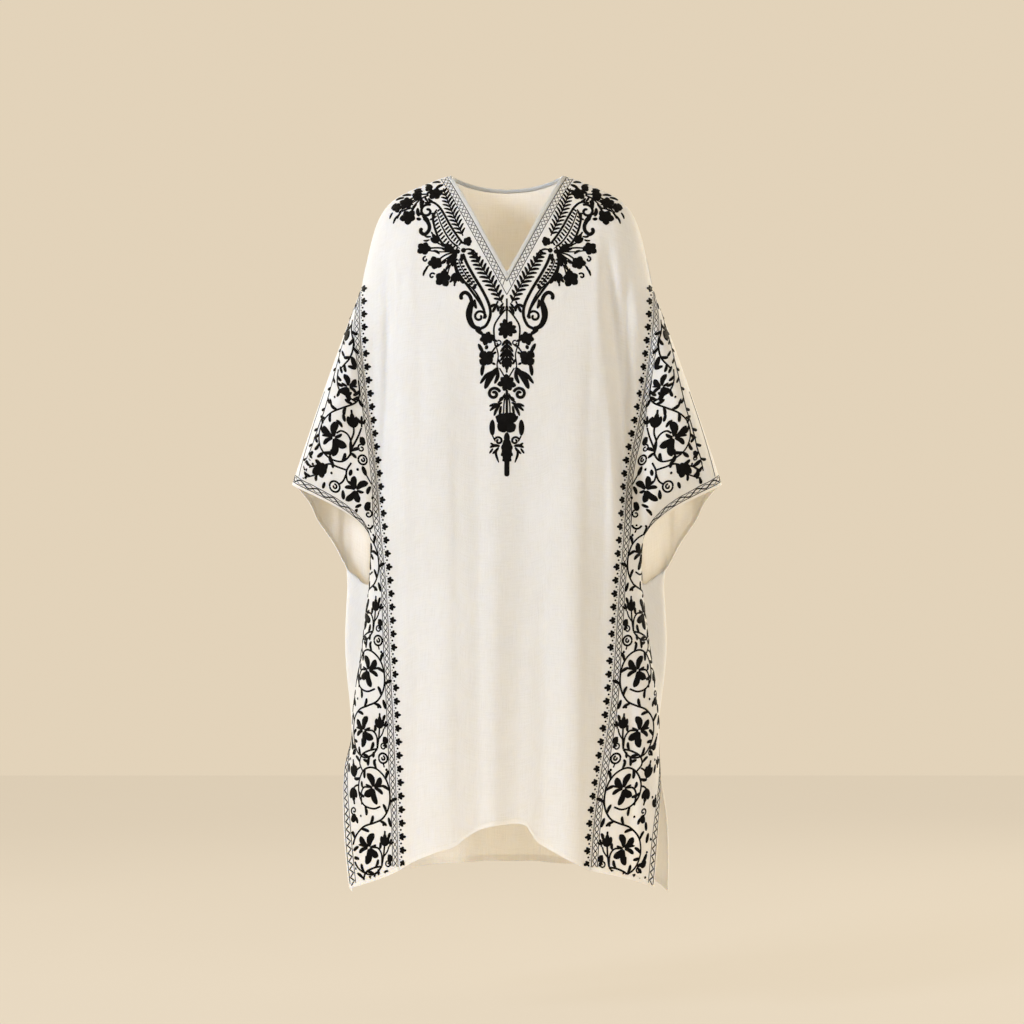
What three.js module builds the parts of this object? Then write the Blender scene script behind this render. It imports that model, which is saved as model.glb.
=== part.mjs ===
// A worn kaftan with batwing sleeves: front and back body panels, a sleeve-and-side panel at each side of
// both, and a binding round the V neck. All sizes are in millimetres, +Z is up and the front looks along -Y.
// The origin lies midway between the two neck points, on top of the shoulders. Left and right are the
// viewer's, so that left is -X.
// The front view sets each panel's outline and the depth (y) is worked out over it: a panel turns through a
// rounded edge at the shoulder ridge, and folds are crests and grooves that run down the cloth.
import * as THREE from "three";

// ---- Driving sizes -------------------------------------------------------------------------------------
const WALL = 1.5; // thickness of the cloth
const HEM_EXTRA = 0.8; // what a turned hem adds on the outside
const HEM_WIDTH = 10; // width of the turned hem along each free edge
const HEM_STEP = 1; // width of the slope up to the hem's thickness
const GAP = 0.3; // between two panels at a seam
const NECK_HALF = 107; // from the centre to the panels' neck point
const SEAM_TOP_X = 262; // where the panel seam leaves the shoulder ridge
const SEAM_TOP_Z = -205;
const UNDERARM_Z = -740; // where the cuff ends and the side seam begins
const SLIT_TOP_Z = -1010; // where the side seam ends and the side slit begins
const SWAY_TOP_Z = -560; // below this the side seams begin to sway with the skirt
const DRAPE_LEAD = 14; // how far before its line the cloth begins to fall back over a sleeve
const DRAPE_WIDTH = 24; // over which it falls back
const SECTION_END = 1.2; // the body's section is known this far out, as a share of its half width
const MITRE_LIMIT = 0.5; // least lean of a mitred end face, so that none is drawn out far
const BINDING_WIDTH = 5.5;
const BINDING_EXTRA = 0.35; // what the folded binding adds on each face of the cloth
const BINDING_GAP = 0.7; // between the binding and the neck line

// ---- Numbers of rows and columns -----------------------------------------------------------------------
const UPPER_ROWS = 16; // from the ridge to the underarm
const UPPER_CLUSTER = 0.12; // spacing of the first row against the mean
const SEWN_ROWS = 7; // down the side seam
const SLIT_ROWS = 6; // down the slit to the hem
const NECK_COLUMNS = 7; // from the centre to the neck point
const NECK_CLUSTER = 1.6; // how strongly those close up towards the neck point
const SHOULDER_COLUMNS = 9; // from the neck point to the panel seam
const SIDE_COLUMNS = 9; // from the panel seam to the edge's hem
const RIDGE_STEPS = 60; // along the shoulder and along the sleeve, to find the nearest ridge point

// ---- Tables --------------------------------------------------------------------------------------------
function table(columns, rows) {
  return rows.map((row) => Object.fromEntries(columns.map((name, i) => [name, row[i]])));
}

// The shoulder ridge from neck point to panel seam, seen from the front.
const SHOULDER = table(["x", "z"], [
  [107, -2], [125, -8], [150, -18], [180, -31], [205, -46], [224, -68], [238, -100], [250, -148], [262, -205],
]);

// The sleeve ridge below the seam: its middle and its end, the cuff corner.
const SLEEVE_RIDGE_MID = { x: 324, z: -375 };
const CUFF_CORNER = { x: 385, z: -556 };

// How the cloth rounds over the ridge: radius seen from the front, and the ridge's own depth.
const ROUNDING = table(["x", "radius", "y"], [
  [107, 112, 0], [150, 106, 0], [205, 96, 0], [240, 78, 0], [262, 62, 0], [324, 44, -3], [365, 30, -6], [385, 16, -8],
]);

// The neck line of the front and the back, from the centre to the neck point.
const FRONT_NECK = table(["x", "z"], [[0, -198], [21, -160], [43, -120], [64, -80], [86, -40], [107, -2]]);
const BACK_NECK = table(["x", "z"], [[0, -21], [43, -18], [75, -12], [107, -2]]);

// The body panels by height: half width to the seam, sideways sway, depth at the centre and at the seam, how
// square the section is, how far the sleeves lie behind the body, and where its cloth falls over each one.
const BODY_NAMES = ["z", "seam", "sway", "centre_y", "seam_y", "slope", "setback", "drape_left", "drape_right"];
const FRONT_BODY = table(BODY_NAMES, [
  [20, 262, 0, -80, -56, 0.1, 0, 208, 168],
  [-60, 262, 0, -92, -60, 0.15, 0, 208, 168],
  [-120, 262, 0, -106, -66, 0.25, 3, 208, 168],
  [-205, 262, 0, -124, -76, 0.35, 14, 206, 178],
  [-320, 255, -2, -136, -88, 0.45, 26, 204, 191],
  [-430, 240, -5, -135, -94, 0.5, 30, 204, 199],
  [-520, 226, -8, -132, -96, 0.5, 30, 207, 205],
  [-620, 215, -8, -130, -94, 0.5, 20, 212, 209],
  [-740, 204, -7, -130, -84, 0.5, 0, 214, 214],
  [-850, 197, -8, -131, -90, 0.45, 0, 214, 214],
  [-950, 190, -9, -133, -98, 0.42, 0, 214, 214],
  [-1050, 180, -14, -136, -104, 0.4, 0, 214, 214],
  [-1150, 171, -19, -140, -110, 0.38, 0, 214, 214],
  [-1250, 166, -22, -143, -114, 0.38, 0, 214, 214],
]);
const BACK_BODY = table(BODY_NAMES, [
  [20, 262, 0, 68, 50, -0.05, 0, 200, 200],
  [-60, 262, 0, 90, 56, -0.1, 0, 200, 200],
  [-150, 262, 0, 108, 66, -0.2, 4, 200, 200],
  [-205, 262, 0, 112, 72, -0.25, 12, 202, 200],
  [-320, 256, 0, 110, 80, -0.25, 20, 204, 202],
  [-430, 246, 0, 104, 84, -0.25, 24, 206, 204],
  [-520, 238, 0, 101, 86, -0.25, 24, 208, 207],
  [-620, 232, 0, 101, 88, -0.22, 16, 210, 210],
  [-740, 226, 0, 104, 88, -0.2, 0, 214, 214],
  [-850, 222, 0, 110, 93, -0.16, 0, 214, 214],
  [-950, 220, 0, 116, 99, -0.14, 0, 214, 214],
  [-1050, 220, 0, 121, 105, -0.14, 0, 214, 214],
  [-1150, 222, 0, 126, 110, -0.14, 0, 214, 214],
  [-1290, 224, 0, 132, 116, -0.14, 0, 214, 214],
]);

// The side panels above the underarm, one row for each level on the panel seam: the middle and the outer
// end of the line that crosses the panel there. The outer ends make the cuff's edge.
const SLEEVE_NAMES = ["level", "mid_x", "mid_z", "mid_y", "edge_x", "edge_z", "edge_y"];
const FRONT_SLEEVE = table(SLEEVE_NAMES, [
  [-205, 324, -375, -84, 385, -556, -40],
  [-290, 305, -436, -86, 352, -572, -46],
  [-380, 283, -498, -86, 314, -590, -50],
  [-472, 262, -556, -84, 279, -611, -52],
  [-560, 246, -604, -78, 250, -637, -50],
  [-650, 239, -664, -62, 231, -676, -36],
  [-740, 241, -740, -46, 232, -740, 2],
]);
const BACK_SLEEVE = table(SLEEVE_NAMES, [
  [-205, 324, -375, 84, 385, -556, 40],
  [-290, 318, -448, 88, 360, -588, 50],
  [-380, 309, -516, 92, 346, -618, 60],
  [-472, 300, -574, 94, 323, -654, 66],
  [-560, 294, -627, 92, 300, -694, 60],
  [-650, 288, -682, 78, 268, -726, 38],
  [-740, 284, -740, 60, 232, -740, 2],
]);

// The side seam, which front and back share: place and sway, going on as the middle of the slit below it.
const SIDE_SEAM = table(["level", "x", "y", "sway"], [
  [-740, 232, 2, -5], [-790, 240, 0, -5], [-850, 248, -1, -4], [-905, 256, -5, -4], [-955, 263, -9, -4],
  [-1010, 272, -14, -5], [-1100, 282, -18, -7], [-1200, 286, -21, -9], [-1300, 286, -22, -11],
]);

// The side panels below the underarm: the middle of each level line, then how far the free edge beside the
// slit stands off the slit's middle line, how far it drops below the level at the panel seam, and how much
// further out the edge of the left panel stands.
const SIDE_NAMES = ["level", "mid_x", "mid_y", "off_x", "off_y", "drop", "left"];
const FRONT_SIDE = table(SIDE_NAMES, [
  [-740, 241, -46, 0, 0, 0, 0],
  [-850, 251, -56, 0, 0, 0, 0],
  [-950, 262, -64, 0, 0, 0, 0],
  [-1010, 257, -72, 0, 0, 0, 0],
  [-1060, 247, -82, 1, -12, 6, 5],
  [-1150, 231, -90, -9, -40, 26, 5],
  [-1233, 222, -96, -17, -50, 38, 0],
]);
const BACK_SIDE = table(SIDE_NAMES, [
  [-740, 284, 60, 0, 0, 0, 0],
  [-850, 288, 58, 0, 0, 0, 0],
  [-950, 276, 66, 0, 0, 0, 0],
  [-1010, 268, 76, 0, 0, 0, 0],
  [-1060, 268, 84, 0, 12, 4, -5],
  [-1150, 272, 96, 13, 42, 16, -22],
  [-1268, 274, 104, 17, 66, 27, -32],
]);

// The hem's height by share of the way from the centre to the left (-1) and right (1) panel seam.
const FRONT_HEM = table(["across", "z"], [
  [-1, -1233], [-0.86, -1218], [-0.61, -1198], [-0.42, -1187], [-0.29, -1171], [-0.14, -1157], [0.13, -1149],
  [0.3, -1152], [0.37, -1166], [0.45, -1183], [0.66, -1203], [0.83, -1217], [1, -1233],
]);
const BACK_HEM = table(["across", "z"], [[-1, -1268], [-0.5, -1257], [0, -1252], [0.5, -1257], [1, -1268]]);

// Folds of the body panels: each runs from top through mid to low, stands out by height (a groove where that
// is negative) and falls off over its left and right widths. rise and fade are shares of its length.
const FOLD_NAMES = ["x_top", "z_top", "x_mid", "x_low", "z_low", "left", "right", "height", "rise", "fade"];
const FRONT_FOLDS = table(FOLD_NAMES, [
  [-98, -230, -106, -112, -1500, 58, 60, 12, 0.6, 0.1],
  [-20, -420, -24, -26, -1500, 24, 18, 4, 0.5, 0.1],
  [16, -420, 14, 8, -1500, 30, 22, -4, 0.5, 0.1],
  [108, -210, 118, 110, -1500, 46, 34, 16, 0.5, 0.1],
  [186, -190, 190, 170, -900, 12, 16, 8, 0.4, 0.5],
  [166, -130, 196, 212, -690, 13, 17, -22, 0.3, 0.25],
  [-208, -120, -207, -214, -690, 17, 14, -11, 0.4, 0.25],
  [-150, -700, -158, -166, -1500, 18, 20, -5, 0.4, 0.1],
  [62, -640, 66, 56, -1500, 18, 22, -5, 0.4, 0.1],
]);
const BACK_FOLDS = table(FOLD_NAMES, [
  [-118, -260, -128, -136, -1500, 34, 46, 15, 0.5, 0.1],
  [-30, -330, -38, -44, -1500, 26, 34, 10, 0.5, 0.1],
  [62, -300, 58, 50, -1500, 32, 24, 12, 0.5, 0.1],
  [142, -240, 146, 152, -1500, 40, 28, 16, 0.5, 0.1],
  [196, -150, 204, 212, -690, 14, 16, -16, 0.3, 0.25],
  [-198, -150, -206, -212, -690, 16, 14, -16, 0.3, 0.25],
]);

// The two sheets of the garment; facing is the side of y = 0 that the sheet lies on.
const FRONT = {
  facing: -1, body: FRONT_BODY, sleeve: FRONT_SLEEVE, side: FRONT_SIDE, folds: FRONT_FOLDS,
  neck: FRONT_NECK, hem: FRONT_HEM, seamEnd: -1233,
};
const BACK = {
  facing: 1, body: BACK_BODY, sleeve: BACK_SLEEVE, side: BACK_SIDE, folds: BACK_FOLDS,
  neck: BACK_NECK, hem: BACK_HEM, seamEnd: -1268,
};

// ---- Small helpers -------------------------------------------------------------------------------------
const mix = (a, b, share) => a + (b - a) * share;
const clamp = (value, low, high) => Math.min(high, Math.max(low, value));

function smoothstep(value) {
  const t = clamp(value, 0, 1);
  return t * t * (3 - 2 * t);
}

// One column of a table as a smooth curve over its first column.
function read(rows, name, at) {
  const key = Object.keys(rows[0])[0];
  const up = rows[rows.length - 1][key] > rows[0][key] ? 1 : -1;
  let i = 1;
  while (i < rows.length - 1 && (at - rows[i][key]) * up > 0) i += 1;
  const slope = (j) => {
    const before = rows[Math.max(j - 1, 0)];
    const after = rows[Math.min(j + 1, rows.length - 1)];
    return (after[name] - before[name]) / (after[key] - before[key]);
  };
  const a = rows[i - 1];
  const b = rows[i];
  const span = b[key] - a[key];
  const t = clamp((at - a[key]) / span, 0, 1);
  const ends = a[name] * (1 + 2 * t) * (1 - t) ** 2 + b[name] * t * t * (3 - 2 * t);
  return ends + span * (slope(i - 1) * t * (1 - t) ** 2 - slope(i) * t * t * (1 - t));
}

// The value at t of the smooth line through a start, a middle and an end.
function through(start, middle, end, t) {
  return start * (1 - t) * (1 - 2 * t) + middle * 4 * t * (1 - t) + end * t * (2 * t - 1);
}

// ---- The shoulder and sleeve ridge ---------------------------------------------------------------------
const RIDGE = [];
for (let i = 0; i < RIDGE_STEPS; i += 1) {
  const x = mix(NECK_HALF, SEAM_TOP_X, i / RIDGE_STEPS);
  RIDGE.push({ x, z: read(SHOULDER, "z", x) });
}
for (let i = 0; i <= RIDGE_STEPS; i += 1) {
  const t = i / RIDGE_STEPS;
  const x = through(SEAM_TOP_X, SLEEVE_RIDGE_MID.x, CUFF_CORNER.x, t);
  RIDGE.push({ x, z: through(SEAM_TOP_Z, SLEEVE_RIDGE_MID.z, CUFF_CORNER.z, t) });
}

// How far the rounding has run at a place in the front view, 0 on the ridge and 1 past its radius, and the
// depth of the nearest ridge point.
function rounding(x, z) {
  let best = Infinity;
  let ridgeX = NECK_HALF;
  for (let i = 0; i < RIDGE.length - 1; i += 1) {
    const a = RIDGE[i];
    const b = RIDGE[i + 1];
    const dx = b.x - a.x;
    const dz = b.z - a.z;
    const t = clamp(((x - a.x) * dx + (z - a.z) * dz) / (dx * dx + dz * dz), 0, 1);
    const distance = Math.hypot(x - a.x - dx * t, z - a.z - dz * t);
    if (distance < best) {
      best = distance;
      ridgeX = a.x + dx * t;
    }
  }
  const share = clamp(best / read(ROUNDING, "radius", ridgeX), 0, 1);
  return { turn: Math.sqrt(1 - (1 - share) ** 2), y: read(ROUNDING, "y", ridgeX) };
}

// ---- Depth of the cloth --------------------------------------------------------------------------------
function foldHeight(folds, x, z) {
  let height = 0;
  for (const fold of folds) {
    const along = (fold.z_top - z) / (fold.z_top - fold.z_low);
    if (along <= 0 || along >= 1) continue;
    const across = x - through(fold.x_top, fold.x_mid, fold.x_low, along);
    const width = across < 0 ? fold.left : fold.right;
    const strength = smoothstep(along / fold.rise) * smoothstep((1 - along) / fold.fade);
    height += fold.height * strength * Math.exp(-((across / width) ** 2));
  }
  return height;
}

const seamX = (sheet, hand, z) => read(sheet.body, "sway", z) + hand * read(sheet.body, "seam", z);

// Depth of the body's cloth before it is rounded over the ridge.
function bodyDepth(sheet, x, z) {
  const row = (name) => read(sheet.body, name, z);
  const half = row("seam");
  const off = x - row("sway");
  const s = clamp(Math.abs(off) / half, 0, SECTION_END);
  const ends = row("centre_y") * (1 + 2 * s) * (1 - s) ** 2 + row("seam_y") * s * s * (3 - 2 * s);
  const profile = ends - half * row("slope") * s * s * (1 - s);
  const drape = off < 0 ? row("drape_left") : row("drape_right");
  const behind = row("setback") * smoothstep((Math.abs(off) - drape + DRAPE_LEAD) / DRAPE_WIDTH);
  return profile + sheet.facing * (foldHeight(sheet.folds, x, z) - behind);
}

// A point of a sheet by its place in the front view and its depth before rounding.
function rounded(x, depth, z, onRidge) {
  const { turn, y } = rounding(Math.abs(x), z);
  return new THREE.Vector3(x, onRidge ? y : mix(y, depth, turn), z);
}

// Top edge of a body panel: the neck line and, past the neck point, the shoulder ridge.
function topZ(sheet, x) {
  return Math.abs(x) < NECK_HALF ? read(sheet.neck, "z", Math.abs(x)) : read(SHOULDER, "z", Math.abs(x));
}

// A body panel's point: across runs from -1 to 1 between its seams, level is the height at the seams.
function bodyPoint(sheet, across, level) {
  const down = (SEAM_TOP_Z - level) / (SEAM_TOP_Z - sheet.seamEnd);
  const z = mix(topZ(sheet, across * SEAM_TOP_X), read(sheet.hem, "z", across), down);
  const x = read(sheet.body, "sway", z) + across * read(sheet.body, "seam", z);
  return rounded(x, bodyDepth(sheet, x, z), z, level === SEAM_TOP_Z && Math.abs(x) > NECK_HALF - GAP);
}

// The ends and the middle of the line that crosses a side panel at a level of the panel seam.
function sideLine(sheet, hand, level) {
  const startX = seamX(sheet, hand, level);
  const start = new THREE.Vector3(startX, bodyDepth(sheet, startX, level), level);
  if (level > UNDERARM_Z) {
    const row = (name) => read(sheet.sleeve, name, level);
    const sway = SIDE_SEAM[0].sway * smoothstep((SWAY_TOP_Z - level) / (SWAY_TOP_Z - UNDERARM_Z));
    const mid = new THREE.Vector3(hand * row("mid_x") + sway / 2, row("mid_y"), row("mid_z"));
    const edge = new THREE.Vector3(hand * row("edge_x") + sway, row("edge_y"), row("edge_z"));
    return { start, mid, edge };
  }
  const side = (name) => read(sheet.side, name, level);
  const seam = (name) => read(SIDE_SEAM, name, level);
  const free = (name) => (level < SLIT_TOP_Z ? side(name) : 0);
  const mid = new THREE.Vector3(hand * side("mid_x") + seam("sway") / 2, side("mid_y"), level - free("drop") / 2);
  const edgeX = hand * (seam("x") + free("off_x") + (hand < 0 ? free("left") : 0)) + seam("sway");
  return { start, mid, edge: new THREE.Vector3(edgeX, seam("y") + free("off_y"), level - free("drop")) };
}

// A side panel's point: out runs from 0 at the panel seam to 1 at the outer edge.
function sidePoint({ start, mid, edge }, out) {
  const [x, y, z] = ["x", "y", "z"].map((axis) => through(start[axis], mid[axis], edge[axis], out));
  return rounded(x, y, z, start.z === SEAM_TOP_Z);
}

// ---- Panels as grids of points -------------------------------------------------------------------------
const UNDERARM_ROW = UPPER_ROWS;
const SLIT_ROW = UNDERARM_ROW + SEWN_ROWS;
const LAST_ROW = SLIT_ROW + SLIT_ROWS + 2;
const SEAM_COLUMN = 2 * (NECK_COLUMNS + SHOULDER_COLUMNS);
const NECK_LEFT = SHOULDER_COLUMNS;
const NECK_RIGHT = SHOULDER_COLUMNS + 2 * NECK_COLUMNS;
const EDGE_COLUMN = SIDE_COLUMNS + 2;

// The levels of a sheet's rows on its panel seam, from the ridge to the hem.
function rowLevels(sheet) {
  const levels = [];
  for (let i = 0; i < UPPER_ROWS; i += 1) {
    const t = i / UPPER_ROWS;
    levels.push(mix(SEAM_TOP_Z, UNDERARM_Z, t * mix(UPPER_CLUSTER, 1, t)));
  }
  for (let i = 0; i < SEWN_ROWS; i += 1) levels.push(mix(UNDERARM_Z, SLIT_TOP_Z, i / SEWN_ROWS));
  const hemTop = sheet.seamEnd + HEM_WIDTH + HEM_STEP;
  for (let i = 0; i <= SLIT_ROWS; i += 1) levels.push(mix(SLIT_TOP_Z, hemTop, i / SLIT_ROWS));
  levels.push(sheet.seamEnd + HEM_WIDTH, sheet.seamEnd);
  return levels;
}

// The columns of a body panel, as shares of the way from the centre to its seams.
function bodyColumns() {
  const neck = NECK_HALF / SEAM_TOP_X;
  const half = [];
  for (let j = 1; j <= NECK_COLUMNS; j += 1) half.push(neck * (1 - (1 - j / NECK_COLUMNS) ** NECK_CLUSTER));
  for (let j = 1; j <= SHOULDER_COLUMNS; j += 1) half.push(mix(neck, 1, j / SHOULDER_COLUMNS));
  return [...half.map((share) => -share).reverse(), 0, ...half];
}

// A panel: its grid of points, the outward normal at each and what its outer face adds to the wall there.
function makePanel(points, outward, isHem) {
  const near = (list, i) => list[clamp(i, 0, list.length - 1)];
  const normals = points.map((row, i) => row.map((_, j) => {
    const along = near(points, i + 1)[j].clone().sub(near(points, i - 1)[j]);
    const across = near(row, j + 1).clone().sub(near(row, j - 1));
    return across.cross(along).normalize().multiplyScalar(outward);
  }));
  const extra = points.map((row, i) => row.map((_, j) => (isHem(i, j) ? HEM_EXTRA : 0)));
  return { points, normals, extra, outward };
}

function bodyPanel(sheet) {
  const columns = bodyColumns();
  const points = rowLevels(sheet).map((level) => columns.map((across) => bodyPoint(sheet, across, level)));
  return makePanel(points, sheet.facing, (i) => i >= LAST_ROW - 1);
}

function sidePanel(sheet, hand) {
  const points = rowLevels(sheet).map((level) => {
    const line = sideLine(sheet, hand, level);
    const length = line.start.distanceTo(line.mid) + line.mid.distanceTo(line.edge);
    const plain = 1 - (HEM_WIDTH + HEM_STEP) / length;
    const shares = [];
    for (let j = 0; j <= SIDE_COLUMNS; j += 1) shares.push((plain * j) / SIDE_COLUMNS);
    shares.push(1 - HEM_WIDTH / length, 1);
    return shares.map((out) => sidePoint(line, out));
  });
  const isFree = (i) => i < UNDERARM_ROW - 1 || i > SLIT_ROW + 1;
  const isHem = (i, j) => i >= LAST_ROW - 1 || (j > SIDE_COLUMNS && isFree(i));
  return makePanel(points, sheet.facing * hand, isHem);
}

// ---- Seams ---------------------------------------------------------------------------------------------
function rowLine(row, from, to) {
  const line = [];
  for (let j = from; j <= to; j += 1) line.push([row, j]);
  return line;
}

function columnLine(column, from, to) {
  const line = [];
  for (let i = from; i <= to; i += 1) line.push([i, column]);
  return line;
}

// Two panels that share a line of points get one mitred end face there and are moved apart by the gap. Each
// line is a list of [row, column], and inside is the step to a neighbour within the first panel.
function joinPanels(panelA, lineA, inside, panelB, lineB) {
  const centre = lineA.map(([i, j], k) => {
    const [m, n] = lineB[k];
    return panelA.points[i][j].clone().lerp(panelB.points[m][n], 0.5);
  });
  centre.forEach((point, k) => {
    const [i, j] = lineA[k];
    const [m, n] = lineB[k];
    const normal = panelA.normals[i][j].clone().add(panelB.normals[m][n]).normalize();
    const lean = normal.dot(panelA.normals[i][j].clone().normalize());
    normal.divideScalar(Math.max(MITRE_LIMIT, lean));
    const tangent = centre[Math.min(k + 1, centre.length - 1)].clone().sub(centre[Math.max(k - 1, 0)]);
    const apart = normal.clone().cross(tangent).normalize();
    const inward = panelA.points[i + inside[0]][j + inside[1]].clone().sub(point);
    if (apart.dot(inward) < 0) apart.negate();
    panelA.points[i][j].addScaledVector(apart, GAP / 2);
    panelB.points[m][n].addScaledVector(apart, -GAP / 2);
    panelA.normals[i][j] = normal.clone();
    panelB.normals[m][n] = normal.clone();
  });
}

// ---- Solids --------------------------------------------------------------------------------------------
function toGeometry(points, faces) {
  const geometry = new THREE.BufferGeometry();
  geometry.setAttribute("position", new THREE.Float32BufferAttribute(points.flatMap((p) => p.toArray()), 3));
  geometry.setIndex(faces);
  geometry.computeVertexNormals();
  return geometry;
}

function panelGeometry({ points, normals, extra, outward }) {
  const rows = points.length;
  const cols = points[0].length;
  const outer = points.flatMap((row, i) => row.map((point, j) => (
    point.clone().addScaledVector(normals[i][j], WALL / 2 + extra[i][j])
  )));
  const inner = points.flatMap((row, i) => row.map((point, j) => (
    point.clone().addScaledVector(normals[i][j], -WALL / 2)
  )));
  const at = (i, j) => i * cols + j;
  const count = outer.length;
  const faces = [];
  const quad = (a, b, c, d) => faces.push(a, b, c, a, c, d);
  for (let i = 0; i < rows - 1; i += 1) {
    for (let j = 0; j < cols - 1; j += 1) {
      quad(at(i, j), at(i + 1, j), at(i + 1, j + 1), at(i, j + 1));
      quad(count + at(i, j), count + at(i, j + 1), count + at(i + 1, j + 1), count + at(i + 1, j));
    }
  }
  const rim = [];
  for (let j = 0; j < cols; j += 1) rim.push(at(0, j));
  for (let i = 1; i < rows; i += 1) rim.push(at(i, cols - 1));
  for (let j = cols - 2; j >= 0; j -= 1) rim.push(at(rows - 1, j));
  for (let i = rows - 2; i > 0; i -= 1) rim.push(at(i, 0));
  rim.forEach((a, k) => {
    const b = rim[(k + 1) % rim.length];
    quad(a, b, count + b, count + a);
  });
  if (outward > 0) faces.reverse();
  return toGeometry([...outer, ...inner], faces);
}

// The neck binding: a ring of rectangular section that goes round the panels' neck line.
function bindingGeometry(loop) {
  const count = loop.length;
  const thick = WALL / 2 + BINDING_EXTRA;
  const points = [];
  loop.forEach(({ point, normal }, k) => {
    const up = normal.clone().normalize();
    const flat = (step) => step.addScaledVector(up, -step.dot(up)).normalize();
    const before = flat(point.clone().sub(loop[(k + count - 1) % count].point));
    const after = flat(loop[(k + 1) % count].point.clone().sub(point));
    const tangent = before.clone().add(after).normalize();
    const inward = up.clone().cross(tangent).divideScalar(tangent.dot(after));
    for (const reach of [BINDING_GAP, BINDING_GAP + BINDING_WIDTH]) {
      const base = point.clone().addScaledVector(inward, reach);
      points.push(base.clone().addScaledVector(up, thick), base.clone().addScaledVector(up, -thick));
    }
  });
  const faces = [];
  const corner = (k, c) => (k % count) * 4 + c;
  const section = [0, 1, 3, 2];
  for (let k = 0; k < count; k += 1) {
    section.forEach((c, n) => {
      const d = section[(n + 1) % 4];
      faces.push(corner(k, c), corner(k, d), corner(k + 1, d));
      faces.push(corner(k, c), corner(k + 1, d), corner(k + 1, c));
    });
  }
  return toGeometry(points, faces);
}

// ---- Assembly ------------------------------------------------------------------------------------------
const CREAM_CLOTH = new THREE.MeshStandardMaterial({ color: 0xeee8d8, roughness: 0.9, metalness: 0 });
const CREAM_BINDING = new THREE.MeshStandardMaterial({ color: 0xe9e1ce, roughness: 0.85, metalness: 0 });
CREAM_CLOTH.name = "cream_cloth";
CREAM_BINDING.name = "cream_binding";

const frontBody = bodyPanel(FRONT);
const backBody = bodyPanel(BACK);
const frontSides = { left: sidePanel(FRONT, -1), right: sidePanel(FRONT, 1) };
const backSides = { left: sidePanel(BACK, -1), right: sidePanel(BACK, 1) };

// The neck loop is taken before the panels are moved apart.
const neckFront = rowLine(0, NECK_LEFT, NECK_RIGHT);
const neckBack = rowLine(0, NECK_LEFT + 1, NECK_RIGHT - 1).reverse();
const loopPoints = [
  ...neckFront.map(([i, j]) => frontBody.points[i][j].clone()),
  ...neckBack.map(([i, j]) => backBody.points[i][j].clone()),
];

// Panel seams of both sheets, then the ridge, then the side seams.
const wholeSeam = columnLine(0, 0, LAST_ROW);
for (const [body, sides] of [[frontBody, frontSides], [backBody, backSides]]) {
  joinPanels(body, wholeSeam, [0, 1], sides.left, wholeSeam);
  joinPanels(body, columnLine(SEAM_COLUMN, 0, LAST_ROW), [0, -1], sides.right, wholeSeam);
}
for (const shoulder of [rowLine(0, 0, NECK_LEFT), rowLine(0, NECK_RIGHT, SEAM_COLUMN)]) {
  joinPanels(frontBody, shoulder, [1, 0], backBody, shoulder);
}
for (const hand of ["left", "right"]) {
  const sleeveRidge = rowLine(0, 0, EDGE_COLUMN);
  const sideSeam = columnLine(EDGE_COLUMN, UNDERARM_ROW, SLIT_ROW);
  joinPanels(frontSides[hand], sleeveRidge, [1, 0], backSides[hand], sleeveRidge);
  joinPanels(frontSides[hand], sideSeam, [0, -1], backSides[hand], sideSeam);
}

const loopNormals = [
  ...neckFront.map(([i, j]) => frontBody.normals[i][j]),
  ...neckBack.map(([i, j]) => backBody.normals[i][j]),
];
const solids = {
  front_panel: panelGeometry(frontBody),
  back_panel: panelGeometry(backBody),
  side_front_left: panelGeometry(frontSides.left),
  side_front_right: panelGeometry(frontSides.right),
  side_back_left: panelGeometry(backSides.left),
  side_back_right: panelGeometry(backSides.right),
  neck_binding: bindingGeometry(loopPoints.map((point, k) => ({ point, normal: loopNormals[k] }))),
};

const kaftan = new THREE.Group();
kaftan.name = "kaftan";
for (const [name, geometry] of Object.entries(solids)) {
  const mesh = new THREE.Mesh(geometry, name === "neck_binding" ? CREAM_BINDING : CREAM_CLOTH);
  mesh.name = name;
  kaftan.add(mesh);
}

export default kaftan;
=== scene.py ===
"""Looks of a worn kaftan: thin cloth panels, turned hems, a folded neck binding and thread embroidery.

Sizes are in millimetres until a mesh is made. +Z is up, the front looks along -Y and left is the viewer's.
Every panel is a grid of points on the worn cloth. Embroidery is drawn flat, as strokes on a chart, and the
chart lays each stroke on the cloth.
"""
import logging
import math
from dataclasses import dataclass
from enum import Enum
from typing import Protocol, Sequence

import bpy
import numpy as np
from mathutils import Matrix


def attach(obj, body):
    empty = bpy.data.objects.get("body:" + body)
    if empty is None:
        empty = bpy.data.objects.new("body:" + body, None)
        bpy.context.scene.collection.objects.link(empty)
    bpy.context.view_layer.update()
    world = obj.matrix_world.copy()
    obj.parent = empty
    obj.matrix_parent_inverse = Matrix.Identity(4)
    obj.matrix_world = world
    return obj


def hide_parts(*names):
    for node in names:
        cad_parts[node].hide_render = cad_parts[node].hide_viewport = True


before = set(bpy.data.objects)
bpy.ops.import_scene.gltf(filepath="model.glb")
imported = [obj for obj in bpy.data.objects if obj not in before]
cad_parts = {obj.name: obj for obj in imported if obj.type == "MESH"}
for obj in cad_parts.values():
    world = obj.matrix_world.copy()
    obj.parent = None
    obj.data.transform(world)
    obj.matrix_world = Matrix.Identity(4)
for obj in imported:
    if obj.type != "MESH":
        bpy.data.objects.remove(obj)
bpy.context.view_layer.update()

Array = np.ndarray
Points = Sequence[tuple[float, float]]
LOG = logging.getLogger("kaftan")
MM = 0.001

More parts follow.
